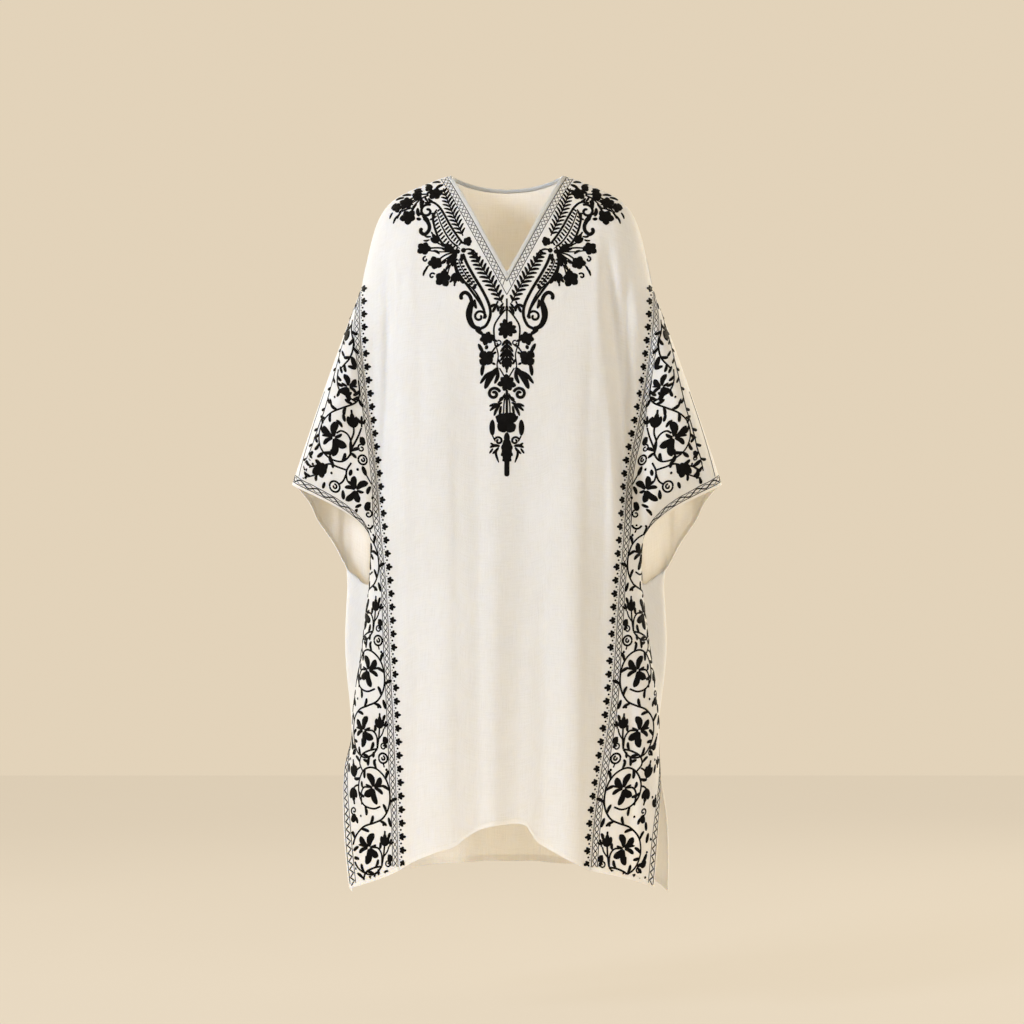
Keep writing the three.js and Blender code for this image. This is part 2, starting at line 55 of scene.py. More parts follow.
# ---- Pattern sizes -------------------------------------------------------------------------------------
NECK_HALF = 107.0
SEAM_TOP_X = 262.0
SEAM_TOP_Z = -205.0
UNDERARM_Z = -740.0
SLIT_TOP_Z = -1010.0
SWAY_TOP_Z = -560.0
DRAPE_LEAD = 14.0
DRAPE_WIDTH = 24.0
SECTION_END = 1.2
MITRE_LIMIT = 0.5
CLOTH = 0.9
HEM_WIDTH = 10.0
HEM_LIFT = 0.3
HEM_TURN = 0.6
SEAM_DIP = 0.28
FLOOR_Z = -1515.0
SPREAD = 1.2


# ---- Small numbers -------------------------------------------------------------------------------------
def smoothstep(value: Array | float) -> Array:
    """Eases from 0 to 1 as value goes from 0 to 1."""
    t = np.clip(value, 0.0, 1.0)
    return t * t * (3 - 2 * t)


def mix(a: Array | float, b: Array | float, share: Array | float) -> Array | float:
    """The value that lies share of the way from a to b."""
    return a + (b - a) * share


def through(start: Array | float, middle: Array | float, end: Array | float, t: Array | float) -> Array:
    """The value at t of the smooth line through a start, a middle and an end."""
    return start * (1 - t) * (1 - 2 * t) + middle * 4 * t * (1 - t) + end * t * (2 * t - 1)


def unit(vectors: Array) -> Array:
    """The same directions at length one."""
    return vectors / np.maximum(np.linalg.norm(vectors, axis=-1, keepdims=True), 1e-9)


def run_length(points: Array) -> Array:
    """Distance from the first point to each point along the line."""
    steps = np.linalg.norm(np.diff(points, axis=0), axis=1)
    return np.concatenate([[0.0], np.cumsum(steps)])


@dataclass(frozen=True)
class SizeTable:
    """A short table of sizes, read as smooth curves over its first column."""

    names: str
    rows: tuple[tuple[float, ...], ...]

    def read(self, name: str, at: Array | float) -> Array:
        """Reads one column.

        Args:
            name: the column's name.
            at: places on the first column.

        Returns:
            The smooth value at each place.
        """
        grid = np.array(self.rows, float)
        if grid[-1, 0] < grid[0, 0]:
            grid = grid[::-1]
        keys, values = grid[:, 0], grid[:, self.names.split().index(name)]
        last = len(keys) - 1
        before = np.maximum(np.arange(last + 1) - 1, 0)
        after = np.minimum(np.arange(last + 1) + 1, last)
        slopes = (values[after] - values[before]) / (keys[after] - keys[before])
        at = np.asarray(at, float)
        i = np.clip(np.searchsorted(keys, at, side="right"), 1, last)
        span = keys[i] - keys[i - 1]
        t = np.clip((at - keys[i - 1]) / span, 0.0, 1.0)
        ends = values[i - 1] * (1 + 2 * t) * (1 - t) ** 2 + values[i] * t * t * (3 - 2 * t)
        return ends + span * (slopes[i - 1] * t * (1 - t) ** 2 - slopes[i] * t * t * (1 - t))


@dataclass(frozen=True)
class Fold:
    """A crest, or a groove where height is negative, that runs down the cloth in the front view."""

    x_top: float
    z_top: float
    x_mid: float
    x_low: float
    z_low: float
    left: float
    right: float
    height: float
    rise: float
    fade: float

    def height_at(self, x: Array, z: Array) -> Array:
        """How far the fold stands out at each place."""
        along = (self.z_top - z) / (self.z_top - self.z_low)
        t = np.clip(along, 0.0, 1.0)
        across = x - through(self.x_top, self.x_mid, self.x_low, t)
        width = np.where(across < 0, self.left, self.right)
        strength = smoothstep(t / self.rise) * smoothstep((1 - t) / self.fade)
        return self.height * strength * np.exp(-((across / width) ** 2))


def folds(*rows: tuple[float, ...]) -> tuple[Fold, ...]:
    """Folds from rows of their numbers."""
    return tuple(Fold(*row) for row in rows)


def folds_height(rows: Sequence[Fold], x: Array, z: Array) -> Array:
    """Sum of the folds at each place."""
    total = np.zeros(np.broadcast(x, z).shape)
    for fold in rows:
        total = total + fold.height_at(x, z)
    return total


SHOULDER = SizeTable("x z", (
    (107, -2), (125, -8), (150, -18), (180, -31), (205, -46), (224, -68), (238, -100), (250, -148),
    (262, -205),
))
SLEEVE_RIDGE_MID = (324.0, -375.0)
CUFF_CORNER = (385.0, -556.0)
ROUNDING = SizeTable("x radius y", (
    (107, 112, 0), (150, 106, 0), (205, 96, 0), (240, 78, 0), (262, 62, 0), (324, 44, -3), (365, 30, -6),
    (385, 16, -8),
))
FRONT_NECK = SizeTable("x z", ((0, -198), (21, -160), (43, -120), (64, -80), (86, -40), (107, -2)))
BACK_NECK = SizeTable("x z", ((0, -21), (43, -18), (75, -12), (107, -2)))
BODY_NAMES = "z seam sway centre_y seam_y slope setback drape_left drape_right"
FRONT_BODY = SizeTable(BODY_NAMES, (
    (20, 262, 0, -80, -56, 0.1, 0, 208, 168),
    (-60, 262, 0, -92, -60, 0.15, 0, 208, 168),
    (-120, 262, 0, -106, -66, 0.25, 3, 208, 168),
    (-205, 262, 0, -124, -76, 0.35, 14, 206, 178),
    (-320, 255, -2, -136, -88, 0.45, 26, 204, 191),
    (-430, 240, -5, -135, -94, 0.5, 30, 204, 199),
    (-520, 226, -8, -132, -96, 0.5, 30, 207, 205),
    (-620, 215, -8, -130, -94, 0.5, 20, 212, 209),
    (-740, 204, -7, -130, -84, 0.5, 0, 214, 214),
    (-850, 197, -8, -131, -90, 0.45, 0, 214, 214),
    (-950, 190, -9, -133, -98, 0.42, 0, 214, 214),
    (-1050, 180, -14, -136, -104, 0.4, 0, 214, 214),
    (-1150, 171, -19, -140, -110, 0.38, 0, 214, 214),
    (-1250, 166, -22, -143, -114, 0.38, 0, 214, 214),
))
BACK_BODY = SizeTable(BODY_NAMES, (
    (20, 262, 0, 68, 50, -0.05, 0, 200, 200),
    (-60, 262, 0, 90, 56, -0.1, 0, 200, 200),
    (-150, 262, 0, 108, 66, -0.2, 4, 200, 200),
    (-205, 262, 0, 112, 72, -0.25, 12, 202, 200),
    (-320, 256, 0, 110, 80, -0.25, 20, 204, 202),
    (-430, 246, 0, 104, 84, -0.25, 24, 206, 204),
    (-520, 238, 0, 101, 86, -0.25, 24, 208, 207),
    (-620, 232, 0, 101, 88, -0.22, 16, 210, 210),
    (-740, 226, 0, 104, 88, -0.2, 0, 214, 214),
    (-850, 222, 0, 110, 93, -0.16, 0, 214, 214),
    (-950, 220, 0, 116, 99, -0.14, 0, 214, 214),
    (-1050, 220, 0, 121, 105, -0.14, 0, 214, 214),
    (-1150, 222, 0, 126, 110, -0.14, 0, 214, 214),
    (-1290, 224, 0, 132, 116, -0.14, 0, 214, 214),
))
SLEEVE_NAMES = "level mid_x mid_z mid_y edge_x edge_z edge_y"
FRONT_SLEEVE = SizeTable(SLEEVE_NAMES, (
    (-205, 324, -375, -84, 385, -556, -40),
    (-290, 305, -436, -86, 352, -572, -46),
    (-380, 283, -498, -86, 314, -590, -50),
    (-472, 262, -556, -84, 279, -611, -52),
    (-560, 246, -604, -78, 250, -637, -50),
    (-650, 239, -664, -62, 231, -676, -36),
    (-740, 241, -740, -46, 232, -740, 2),
))
BACK_SLEEVE = SizeTable(SLEEVE_NAMES, (
    (-205, 324, -375, 84, 385, -556, 40),
    (-290, 318, -448, 88, 360, -588, 50),
    (-380, 309, -516, 92, 346, -618, 60),
    (-472, 300, -574, 94, 323, -654, 66),
    (-560, 294, -627, 92, 300, -694, 60),
    (-650, 288, -682, 78, 268, -726, 38),
    (-740, 284, -740, 60, 232, -740, 2),
))
SIDE_SEAM = SizeTable("level x y sway", (
    (-740, 232, 2, -5), (-790, 240, 0, -5), (-850, 248, -1, -4), (-905, 256, -5, -4), (-955, 263, -9, -4),
    (-1010, 272, -14, -5), (-1100, 282, -18, -7), (-1200, 286, -21, -9), (-1300, 286, -22, -11),
))
SIDE_NAMES = "level mid_x mid_y off_x off_y drop left"
FRONT_SIDE = SizeTable(SIDE_NAMES, (
    (-740, 241, -46, 0, 0, 0, 0), (-850, 251, -56, 0, 0, 0, 0), (-950, 262, -64, 0, 0, 0, 0),
    (-1010, 257, -72, 0, 0, 0, 0), (-1060, 247, -82, 1, -12, 6, 5), (-1150, 231, -90, -9, -40, 26, 5),
    (-1233, 222, -96, -17, -50, 38, 0),
))
BACK_SIDE = SizeTable(SIDE_NAMES, (
    (-740, 284, 60, 0, 0, 0, 0), (-850, 288, 58, 0, 0, 0, 0), (-950, 276, 66, 0, 0, 0, 0),
    (-1010, 268, 76, 0, 0, 0, 0), (-1060, 268, 84, 0, 12, 4, -5), (-1150, 272, 96, 13, 42, 16, -22),
    (-1268, 274, 104, 17, 66, 27, -32),
))
FRONT_HEM = SizeTable("across z", (
    (-1, -1233), (-0.86, -1218), (-0.61, -1198), (-0.42, -1187), (-0.29, -1171), (-0.14, -1157),
    (0.13, -1149), (0.3, -1152), (0.37, -1166), (0.45, -1183), (0.66, -1203), (0.83, -1217), (1, -1233),
))
BACK_HEM = SizeTable("across z", ((-1, -1268), (-0.5, -1257), (0, -1252), (0.5, -1257), (1, -1268)))

# Main folds, which the solids have too.
FRONT_FOLDS = folds(
    (-98, -230, -106, -112, -1500, 58, 60, 12, 0.6, 0.1),
    (-20, -420, -24, -26, -1500, 24, 18, 4, 0.5, 0.1),
    (16, -420, 14, 8, -1500, 30, 22, -4, 0.5, 0.1),
    (108, -210, 118, 110, -1500, 46, 34, 16, 0.5, 0.1),
    (186, -190, 190, 170, -900, 12, 16, 8, 0.4, 0.5),
    (166, -130, 196, 212, -690, 13, 17, -22, 0.3, 0.25),
    (-208, -120, -207, -214, -690, 17, 14, -11, 0.4, 0.25),
    (-150, -700, -158, -166, -1500, 18, 20, -5, 0.4, 0.1),
    (62, -640, 66, 56, -1500, 18, 22, -5, 0.4, 0.1),
)
BACK_FOLDS = folds(
    (-118, -260, -128, -136, -1500, 34, 46, 15, 0.5, 0.1),
    (-30, -330, -38, -44, -1500, 26, 34, 10, 0.5, 0.1),
    (62, -300, 58, 50, -1500, 32, 24, 12, 0.5, 0.1),
    (142, -240, 146, 152, -1500, 40, 28, 16, 0.5, 0.1),
    (196, -150, 204, 212, -690, 14, 16, -16, 0.3, 0.25),
    (-198, -150, -206, -212, -690, 16, 14, -16, 0.3, 0.25),
)

# Small creases that only the cloth shows, over body, sleeves and sides alike.
FRONT_CREASES = folds(
    (212, -110, 210, 204, -580, 5, 7, -3.6, 0.3, 0.3),
    (195, -84, 196, 199, -430, 7, 8, 3.0, 0.4, 0.5),
    (227, -140, 226, 221, -540, 9, 9, 3.4, 0.4, 0.4),
    (248, -190, 240, 230, -650, 8, 10, -2.6, 0.4, 0.4),
    (180, -96, 176, 172, -340, 5, 6, -2.2, 0.4, 0.5),
    (163, -92, 159, 156, -330, 7, 7, 1.8, 0.4, 0.5),
    (148, -230, 146, 143, -520, 7, 9, -1.3, 0.4, 0.5),
    (-190, -96, -187, -184, -400, 6, 7, -2.2, 0.4, 0.5),
    (-224, -140, -221, -216, -520, 9, 9, 3.2, 0.4, 0.4),
    (-241, -180, -237, -230, -600, 7, 8, -2.6, 0.4, 0.4),
    (-172, -100, -166, -160, -330, 8, 8, 1.8, 0.4, 0.5),
    (-150, -240, -152, -149, -560, 8, 10, -1.4, 0.4, 0.5),
    (-176, -420, -178, -176, -1000, 10, 12, 2.0, 0.4, 0.4),
    (-131, -520, -134, -138, -1260, 9, 12, -1.2, 0.4, 0.2),
    (-88, -240, -88, -84, -1260, 9, 14, -1.6, 0.4, 0.2),
    (-52, -480, -50, -48, -1260, 12, 10, -1.0, 0.4, 0.2),
    (90, -560, 93, 88, -1260, 9, 11, -0.9, 0.4, 0.2),
    (134, -240, 142, 136, -1260, 9, 12, -1.8, 0.4, 0.2),
    (-60, -190, -54, -50, -1320, 40, 28, -5.6, 0.2, 0.1),
    (36, -370, 40, 40, -1320, 34, 54, -6.6, 0.3, 0.1),
    (166, -640, 164, 150, -1260, 9, 9, -1.9, 0.4, 0.2),
    (-196, -760, -190, -182, -1260, 9, 10, 1.8, 0.4, 0.2),
    (288, -330, 304, 322, -600, 12, 14, 2.6, 0.4, 0.3),
    (266, -300, 268, 274, -620, 9, 10, -2.2, 0.4, 0.3),
    (318, -400, 332, 348, -590, 8, 9, -1.8, 0.4, 0.3),
    (-284, -330, -300, -320, -600, 12, 13, 2.4, 0.4, 0.3),
    (-264, -310, -268, -272, -620, 9, 10, -2.0, 0.4, 0.3),
    (-322, -410, -336, -350, -590, 8, 9, -1.8, 0.4, 0.3),
    (214, -800, 220, 208, -1262, 9, 10, -2.2, 0.4, 0.2),
    (232, -860, 236, 226, -1262, 8, 9, 2.0, 0.4, 0.2),
    (-222, -800, -232, -236, -1262, 9, 10, -2.2, 0.4, 0.2),
    (-244, -860, -250, -252, -1262, 8, 9, 2.0, 0.4, 0.2),
)
BACK_CREASES = folds(
    (-168, -110, -170, -174, -560, 8, 10, -2.6, 0.4, 0.4),
    (-146, -140, -148, -150, -700, 8, 9, 2.2, 0.4, 0.4),
    (-92, -120, -94, -98, -620, 10, 9, -2.0, 0.4, 0.4),
    (-60, -260, -64, -66, -1280, 9, 12, -2.4, 0.4, 0.2),
    (-12, -150, -10, -8, -900, 9, 8, 1.8, 0.4, 0.4),
    (16, -240, 14, 10, -1280, 8, 10, -2.2, 0.4, 0.2),
    (40, -400, 38, 36, -1280, 9, 9, 1.6, 0.4, 0.2),
    (88, -130, 92, 94, -1000, 10, 9, -2.4, 0.4, 0.4),
    (118, -340, 116, 120, -1280, 8, 9, -1.8, 0.4, 0.2),
    (170, -120, 172, 176, -620, 8, 10, 2.6, 0.4, 0.4),
    (184, -560, 190, 196, -1280, 9, 10, -2.4, 0.4, 0.2),
    (-184, -560, -190, -194, -1280, 10, 9, -2.4, 0.4, 0.2),
    (-160, -700, -164, -168, -1280, 8, 9, 2.0, 0.4, 0.2),
    (222, -150, 226, 224, -700, 9, 9, 3.2, 0.4, 0.3),
    (-222, -150, -226, -224, -700, 9, 9, 3.2, 0.4, 0.3),
    (244, -190, 250, 254, -1000, 10, 10, -4.0, 0.4, 0.3),
    (-244, -190, -252, -256, -1000, 10, 10, -4.0, 0.4, 0.3),
    (274, -290, 282, 276, -1180, 11, 12, 4.2, 0.4, 0.3),
    (-272, -290, -284, -280, -1180, 11, 12, 4.2, 0.4, 0.3),
    (304, -380, 310, 304, -730, 9, 11, -4.4, 0.4, 0.3),
    (-306, -380, -312, -306, -730, 9, 11, -4.4, 0.4, 0.3),
    (332, -430, 338, 336, -650, 8, 9, 2.6, 0.4, 0.3),
    (-334, -430, -340, -338, -650, 8, 9, 2.6, 0.4, 0.3),
    (248, -820, 250, 252, -1290, 9, 10, 2.6, 0.4, 0.2),
    (-248, -820, -250, -252, -1290, 9, 10, 2.6, 0.4, 0.2),
)


# ---- Cloth surface -------------------------------------------------------------------------------------
class Ridge:
    """The top line of the garment, along the shoulder and the sleeve, and how the cloth rounds over it."""

    STEPS = 60

    def __init__(self) -> None:
        """Walks the line once."""
        shoulder_x = mix(NECK_HALF, SEAM_TOP_X, np.arange(self.STEPS) / self.STEPS)
        t = np.arange(self.STEPS + 1) / self.STEPS
        sleeve = [
            through(a, b, c, t)
            for a, b, c in zip((SEAM_TOP_X, SEAM_TOP_Z), SLEEVE_RIDGE_MID, CUFF_CORNER)
        ]
        self.line = np.concatenate([
            np.stack([shoulder_x, SHOULDER.read("z", shoulder_x)], -1), np.stack(sleeve, -1),
        ])

    def nearest(self, x: Array, z: Array) -> tuple[Array, Array]:
        """Finds the nearest place of the line.

        Args:
            x: distances from the middle, not negative.
            z: heights.

        Returns:
            The distance to the line and the x of its nearest place.
        """
        place = np.stack([np.abs(x).ravel(), z.ravel()], -1)
        best = np.full(len(place), np.inf)
        ridge_x = np.full(len(place), NECK_HALF)
        for a, b in zip(self.line[:-1], self.line[1:]):
            step = b - a
            t = np.clip((place - a) @ step / (step @ step), 0.0, 1.0)
            distance = np.linalg.norm(place - a - t[:, None] * step, axis=1)
            closer = distance < best
            best[closer] = distance[closer]
            ridge_x[closer] = a[0] + step[0] * t[closer]
        return best.reshape(x.shape), ridge_x.reshape(x.shape)

    def share(self, x: Array, z: Array) -> tuple[Array, Array]:
        """How much of the rounding has run, from 0 on the line to 1, and the line's own depth there."""
        distance, ridge_x = self.nearest(x, z)
        return np.clip(distance / ROUNDING.read("radius", ridge_x), 0.0, 1.0), ROUNDING.read("y", ridge_x)


RIDGE = Ridge()


@dataclass(frozen=True)
class Sheet:
    """The front or the back of the garment; facing is the side of y = 0 that it lies on."""

    facing: int
    body: SizeTable
    sleeve: SizeTable
    side: SizeTable
    neck: SizeTable
    hem: SizeTable
    folds: tuple[Fold, ...]
    creases: tuple[Fold, ...]
    seam_end: float

    def seam_x(self, hand: int, z: Array | float) -> Array:
        """Place of a panel seam, seen from the front."""
        return self.body.read("sway", z) + hand * self.body.read("seam", z)

    def depth(self, x: Array, z: Array) -> Array:
        """Depth of the body's cloth before it is rounded over the ridge."""
        half = self.body.read("seam", z)
        off = x - self.body.read("sway", z)
        s = np.clip(np.abs(off) / half, 0.0, SECTION_END)
        centre, seam = self.body.read("centre_y", z), self.body.read("seam_y", z)
        ends = centre * (1 + 2 * s) * (1 - s) ** 2 + seam * s * s * (3 - 2 * s)
        profile = ends - half * self.body.read("slope", z) * s * s * (1 - s)
        drape = np.where(off < 0, self.body.read("drape_left", z), self.body.read("drape_right", z))
        behind = self.body.read("setback", z) * smoothstep((np.abs(off) - drape + DRAPE_LEAD) / DRAPE_WIDTH)
        return profile + self.facing * (folds_height(self.folds, x, z) - behind)

    def rounded(self, x: Array, depth: Array, z: Array, on_ridge: Array) -> Array:
        """Points of the sheet by their place in the front view and their depth before rounding."""
        share, ridge_y = RIDGE.share(x, z)
        turn = np.where(on_ridge, 0.0, np.sqrt(1 - (1 - share) ** 2))
        return np.stack([x, mix(ridge_y, depth, turn), z], -1)

    def top_z(self, x: Array) -> Array:
        """Height of the body panel's top edge."""
        x = np.abs(x)
        return np.where(x < NECK_HALF, self.neck.read("z", x), SHOULDER.read("z", x))

    def levels(self) -> Array:
        """Heights of the rows on the panel seam, close together over the rounded ridge and at the hem."""
        turn = np.arange(23) * 0.0593
        upper = SEAM_TOP_Z - 100 * (1 - np.cos(turn))
        upper = np.concatenate([upper, np.linspace(upper[-1], UNDERARM_Z, 81)[1:-1]])
        sewn = np.linspace(UNDERARM_Z, SLIT_TOP_Z, 43)[:-1]
        slit = np.linspace(SLIT_TOP_Z, self.seam_end + 12, 34)
        return np.concatenate([upper, sewn, slit, self.seam_end + np.array([10.5, 9, 5, 1.5, 0])])


FRONT = Sheet(
    -1, FRONT_BODY, FRONT_SLEEVE, FRONT_SIDE, FRONT_NECK, FRONT_HEM, FRONT_FOLDS, FRONT_CREASES, -1233.0,
)
BACK = Sheet(1, BACK_BODY, BACK_SLEEVE, BACK_SIDE, BACK_NECK, BACK_HEM, BACK_FOLDS, BACK_CREASES, -1268.0)
UNDERARM_ROW = int(np.argmin(np.abs(FRONT.levels() - UNDERARM_Z)))
SLIT_ROW = int(np.argmin(np.abs(FRONT.levels() - SLIT_TOP_Z)))

Line = tuple[slice | int, slice | int]


class Panel:
    """One cut piece of cloth as a grid of points, with the outward normal at each."""

    def __init__(
        self, name: str, sheet: Sheet, outward: int, points: Array, free: Array, sewn: Array,
    ) -> None:
        """Keeps the grid.

        Args:
            name: the solid that the panel stands for.
            sheet: the front or the back.
            outward: turns the grid's own normal outwards.
            points: the grid, rows from top to hem.
            free: distance of each point to the nearest free edge.
            sewn: 1 where creases run out into a seam shared with the other sheet, else 0.
        """
        self.name = name
        self.sheet = sheet
        self.outward = outward
        self.points = points
        self.free = free
        self.sewn = sewn
        self.dip = np.zeros(points.shape[:2])
        self.normals = self.grid_normals()

    def grid_normals(self) -> Array:
        """Outward normals from each point's neighbours."""
        along = np.empty_like(self.points)
        along[1:-1] = self.points[2:] - self.points[:-2]
        along[0] = self.points[1] - self.points[0]
        along[-1] = self.points[-1] - self.points[-2]
        across = np.empty_like(self.points)
        across[:, 1:-1] = self.points[:, 2:] - self.points[:, :-2]
        across[:, 0] = self.points[:, 1] - self.points[:, 0]
        across[:, -1] = self.points[:, -1] - self.points[:, -2]
        return unit(np.cross(across, along)) * self.outward

    def crease(self) -> None:
        """Adds the small creases, which fade out at the ridge and at the seams between front and back."""
        x, z = self.points[..., 0], self.points[..., 2]
        share, _ = RIDGE.share(x, z)
        amount = folds_height(self.sheet.creases, x, z) * smoothstep(share * 1.4) * (1 - self.sewn)
        self.points = self.points + unit(self.normals) * amount[..., None]
        self.normals = self.grid_normals()

    def faces_out(self) -> tuple[Array, Array]:
        """The outer and the inner face of the cloth, with its turned hem."""
        hem = smoothstep((HEM_WIDTH + 1.2 - self.free) / 2)
        stitch = np.exp(-(((self.free - HEM_WIDTH + 1) / 1.2) ** 2))
        outer = CLOTH / 2 + HEM_LIFT * hem - 0.25 * stitch - SEAM_DIP * self.dip
        inner = CLOTH / 2 + HEM_TURN * hem + SEAM_DIP * self.dip
        return self.points + self.normals * outer[..., None], self.points - self.normals * inner[..., None]

    def grain(self) -> Array:
        """Place of each point in the flat cloth, in metres: across the grain and down it."""
        middle = self.points.shape[1] // 2 if "panel" in self.name else 0
        across = np.linalg.norm(np.diff(self.points, axis=1), axis=2)
        across = np.concatenate([np.zeros((len(across), 1)), np.cumsum(across, axis=1)], axis=1)
        down = np.linalg.norm(np.diff(self.points, axis=0), axis=2)
        down = np.concatenate([np.zeros((1, down.shape[1])), np.cumsum(down, axis=0)], axis=0)
        start = self.points[0, :, 2] * -1
        return np.stack([across - across[:, middle:middle + 1], down + start], -1) * MM

    def shell(self) -> tuple[Array, Array, Array]:
        """The closed two-sided cloth.

        Returns:
            Its points, its quads and the numbers of the points round its rim, outer then inner.
        """
        outer, inner = self.faces_out()
        rows, cols = outer.shape[:2]
        number = np.arange(rows * cols).reshape(rows, cols)
        a, b = number[:-1, :-1].ravel(), number[1:, :-1].ravel()
        c, d = number[1:, 1:].ravel(), number[:-1, 1:].ravel()
        count = rows * cols
        top = np.stack([a, b, c, d], -1)
        bottom = np.stack([a, d, c, b], -1) + count
        rim = np.concatenate([number[0], number[1:, -1], number[-1, -2::-1], number[-2:0:-1, 0]])
        after = np.roll(rim, -1)
        wall = np.stack([rim, after, after + count, rim + count], -1)
        quads = np.concatenate([top, bottom, wall])
        if self.outward > 0:
            quads = quads[:, ::-1]
        return np.concatenate([outer.reshape(-1, 3), inner.reshape(-1, 3)]), quads, rim


def join(panel_a: Panel, line_a: Line, panel_b: Panel, line_b: Line, groove: float = 1.0) -> None:
    """Gives two panels one line of points, one mitred normal and a groove along the seam that they share."""
    a, b = panel_a.normals[line_a], panel_b.normals[line_b]
    normal = unit(a + b)
    lean = np.sum(normal * unit(a), axis=-1, keepdims=True)
    normal = normal / np.maximum(MITRE_LIMIT, lean)
    middle = (panel_a.points[line_a] + panel_b.points[line_b]) / 2
    for panel, line in ((panel_a, line_a), (panel_b, line_b)):
        panel.normals[line] = normal
        panel.points[line] = middle
        panel.dip[line] = groove


class Garment:
    """The six cloth panels, cut, sewn and creased."""

    NECK_COLUMNS = 28
    SHOULDER_COLUMNS = 33
    SIDE_COLUMNS = 38

    def __init__(self) -> None:
        """Builds all panels."""
        neck = NECK_HALF / SEAM_TOP_X
        half = np.concatenate([
            np.linspace(0, neck, self.NECK_COLUMNS + 1)[1:],
            np.linspace(neck, 1, self.SHOULDER_COLUMNS + 1)[1:-1],
            [1 - 4.7 / SEAM_TOP_X + 0.008, 1],
        ])
        half = np.unique(np.round(half, 6))
        self.columns = np.concatenate([-half[::-1], [0.0], half])
        self.middle = len(half)
        self.front = self.body_panel("front_panel", FRONT)
        self.back = self.body_panel("back_panel", BACK)
        self.sides = {
            (sheet.facing, hand): self.side_panel(
                f"side_{'front' if sheet.facing < 0 else 'back'}_{'left' if hand < 0 else 'right'}",
                sheet, hand
            )
            for sheet in (FRONT, BACK) for hand in (-1, 1)
        }
        self.sew()
        for panel in self.panels():
            panel.crease()
        self.sew()

    def panels(self) -> list[Panel]:
        """All panels, bodies first."""
        return [self.front, self.back, *self.sides.values()]

    def body_panel(self, name: str, sheet: Sheet) -> Panel:
        """Builds the front or back body."""
        levels, across = np.meshgrid(sheet.levels(), self.columns, indexing="ij")
        down = (SEAM_TOP_Z - levels) / (SEAM_TOP_Z - sheet.seam_end)
        z = mix(sheet.top_z(across * SEAM_TOP_X), sheet.hem.read("z", across), down)
        x = sheet.body.read("sway", z) + across * sheet.body.read("seam", z)
        on_ridge = (levels == SEAM_TOP_Z) & (np.abs(x) > NECK_HALF - 0.3)
        points = sheet.rounded(x, sheet.depth(x, z), z, on_ridge)
        free = (levels - sheet.seam_end) + 0 * x
        return Panel(name, sheet, sheet.facing, points, free, np.zeros_like(x))

    def side_panel(self, name: str, sheet: Sheet, hand: int) -> Panel:
        """Builds a sleeve-and-side panel."""
        levels = sheet.levels()
        start, middle, edge = self.side_lines(sheet, hand, levels)
        length = np.linalg.norm(middle - start, axis=1) + np.linalg.norm(edge - middle, axis=1)
        plain = np.concatenate([[0, 2.4 / 190], np.linspace(0, 1, self.SIDE_COLUMNS + 1)[1:]])
        shares = [plain[None, :] * (1 - 12 / length[:, None])]
        shares += [1 - distance / length[:, None] for distance in (10.5, 9, 5, 1.5, 0)]
        out = np.concatenate(shares, axis=1)
        x, y, z = (
            through(start[:, None, k], middle[:, None, k], edge[:, None, k], out) for k in range(3)
        )
        on_ridge = np.zeros_like(x, bool)
        on_ridge[0] = True
        points = sheet.rounded(x, y, z, on_ridge)
        to_edge = length[:, None] * (1 - out)
        level = levels[:, None] + 0 * x
        closed = (level <= UNDERARM_Z + 8) & (level >= SLIT_TOP_Z - 4)
        free = np.minimum(np.where(closed, 100.0, to_edge), level - sheet.seam_end)
        near_seam = smoothstep((UNDERARM_Z + 60 - level) / 60) * smoothstep((level - SLIT_TOP_Z + 70) / 60)
        sewn = near_seam * (1 - smoothstep((1 - out) * 3))
        return Panel(name, sheet, sheet.facing * hand, points, free, sewn)

    @staticmethod
    def side_lines(sheet: Sheet, hand: int, levels: Array) -> tuple[Array, Array, Array]:
        """Start, middle and end of the line that crosses a side panel at each level of its seam."""
        start_x = sheet.seam_x(hand, levels)
        start = np.stack([start_x, sheet.depth(start_x, levels), levels], -1)
        share = smoothstep((SWAY_TOP_Z - levels) / (SWAY_TOP_Z - UNDERARM_Z))
        sway = SIDE_SEAM.read("sway", UNDERARM_Z) * share
        upper = {name: sheet.sleeve.read(name, levels) for name in SLEEVE_NAMES.split()[1:]}
        upper_mid = np.stack([hand * upper["mid_x"] + sway / 2, upper["mid_y"], upper["mid_z"]], -1)
        upper_edge = np.stack([hand * upper["edge_x"] + sway, upper["edge_y"], upper["edge_z"]], -1)
        low = {name: sheet.side.read(name, levels) for name in SIDE_NAMES.split()[1:]}
        seam = {name: SIDE_SEAM.read(name, levels) for name in ("x", "y", "sway")}
        slit = levels < SLIT_TOP_Z
        drop = np.where(slit, low["drop"], 0)
        low_mid = np.stack([hand * low["mid_x"] + seam["sway"] / 2, low["mid_y"], levels - drop / 2], -1)
        off_x = np.where(slit, low["off_x"] + (low["left"] if hand < 0 else 0), 0)
        off_y = np.where(slit, low["off_y"], 0)
        low_edge = np.stack([hand * (seam["x"] + off_x) + seam["sway"], seam["y"] + off_y, levels - drop], -1)
        above = (levels > UNDERARM_Z)[:, None]
        return start, np.where(above, upper_mid, low_mid), np.where(above, upper_edge, low_edge)

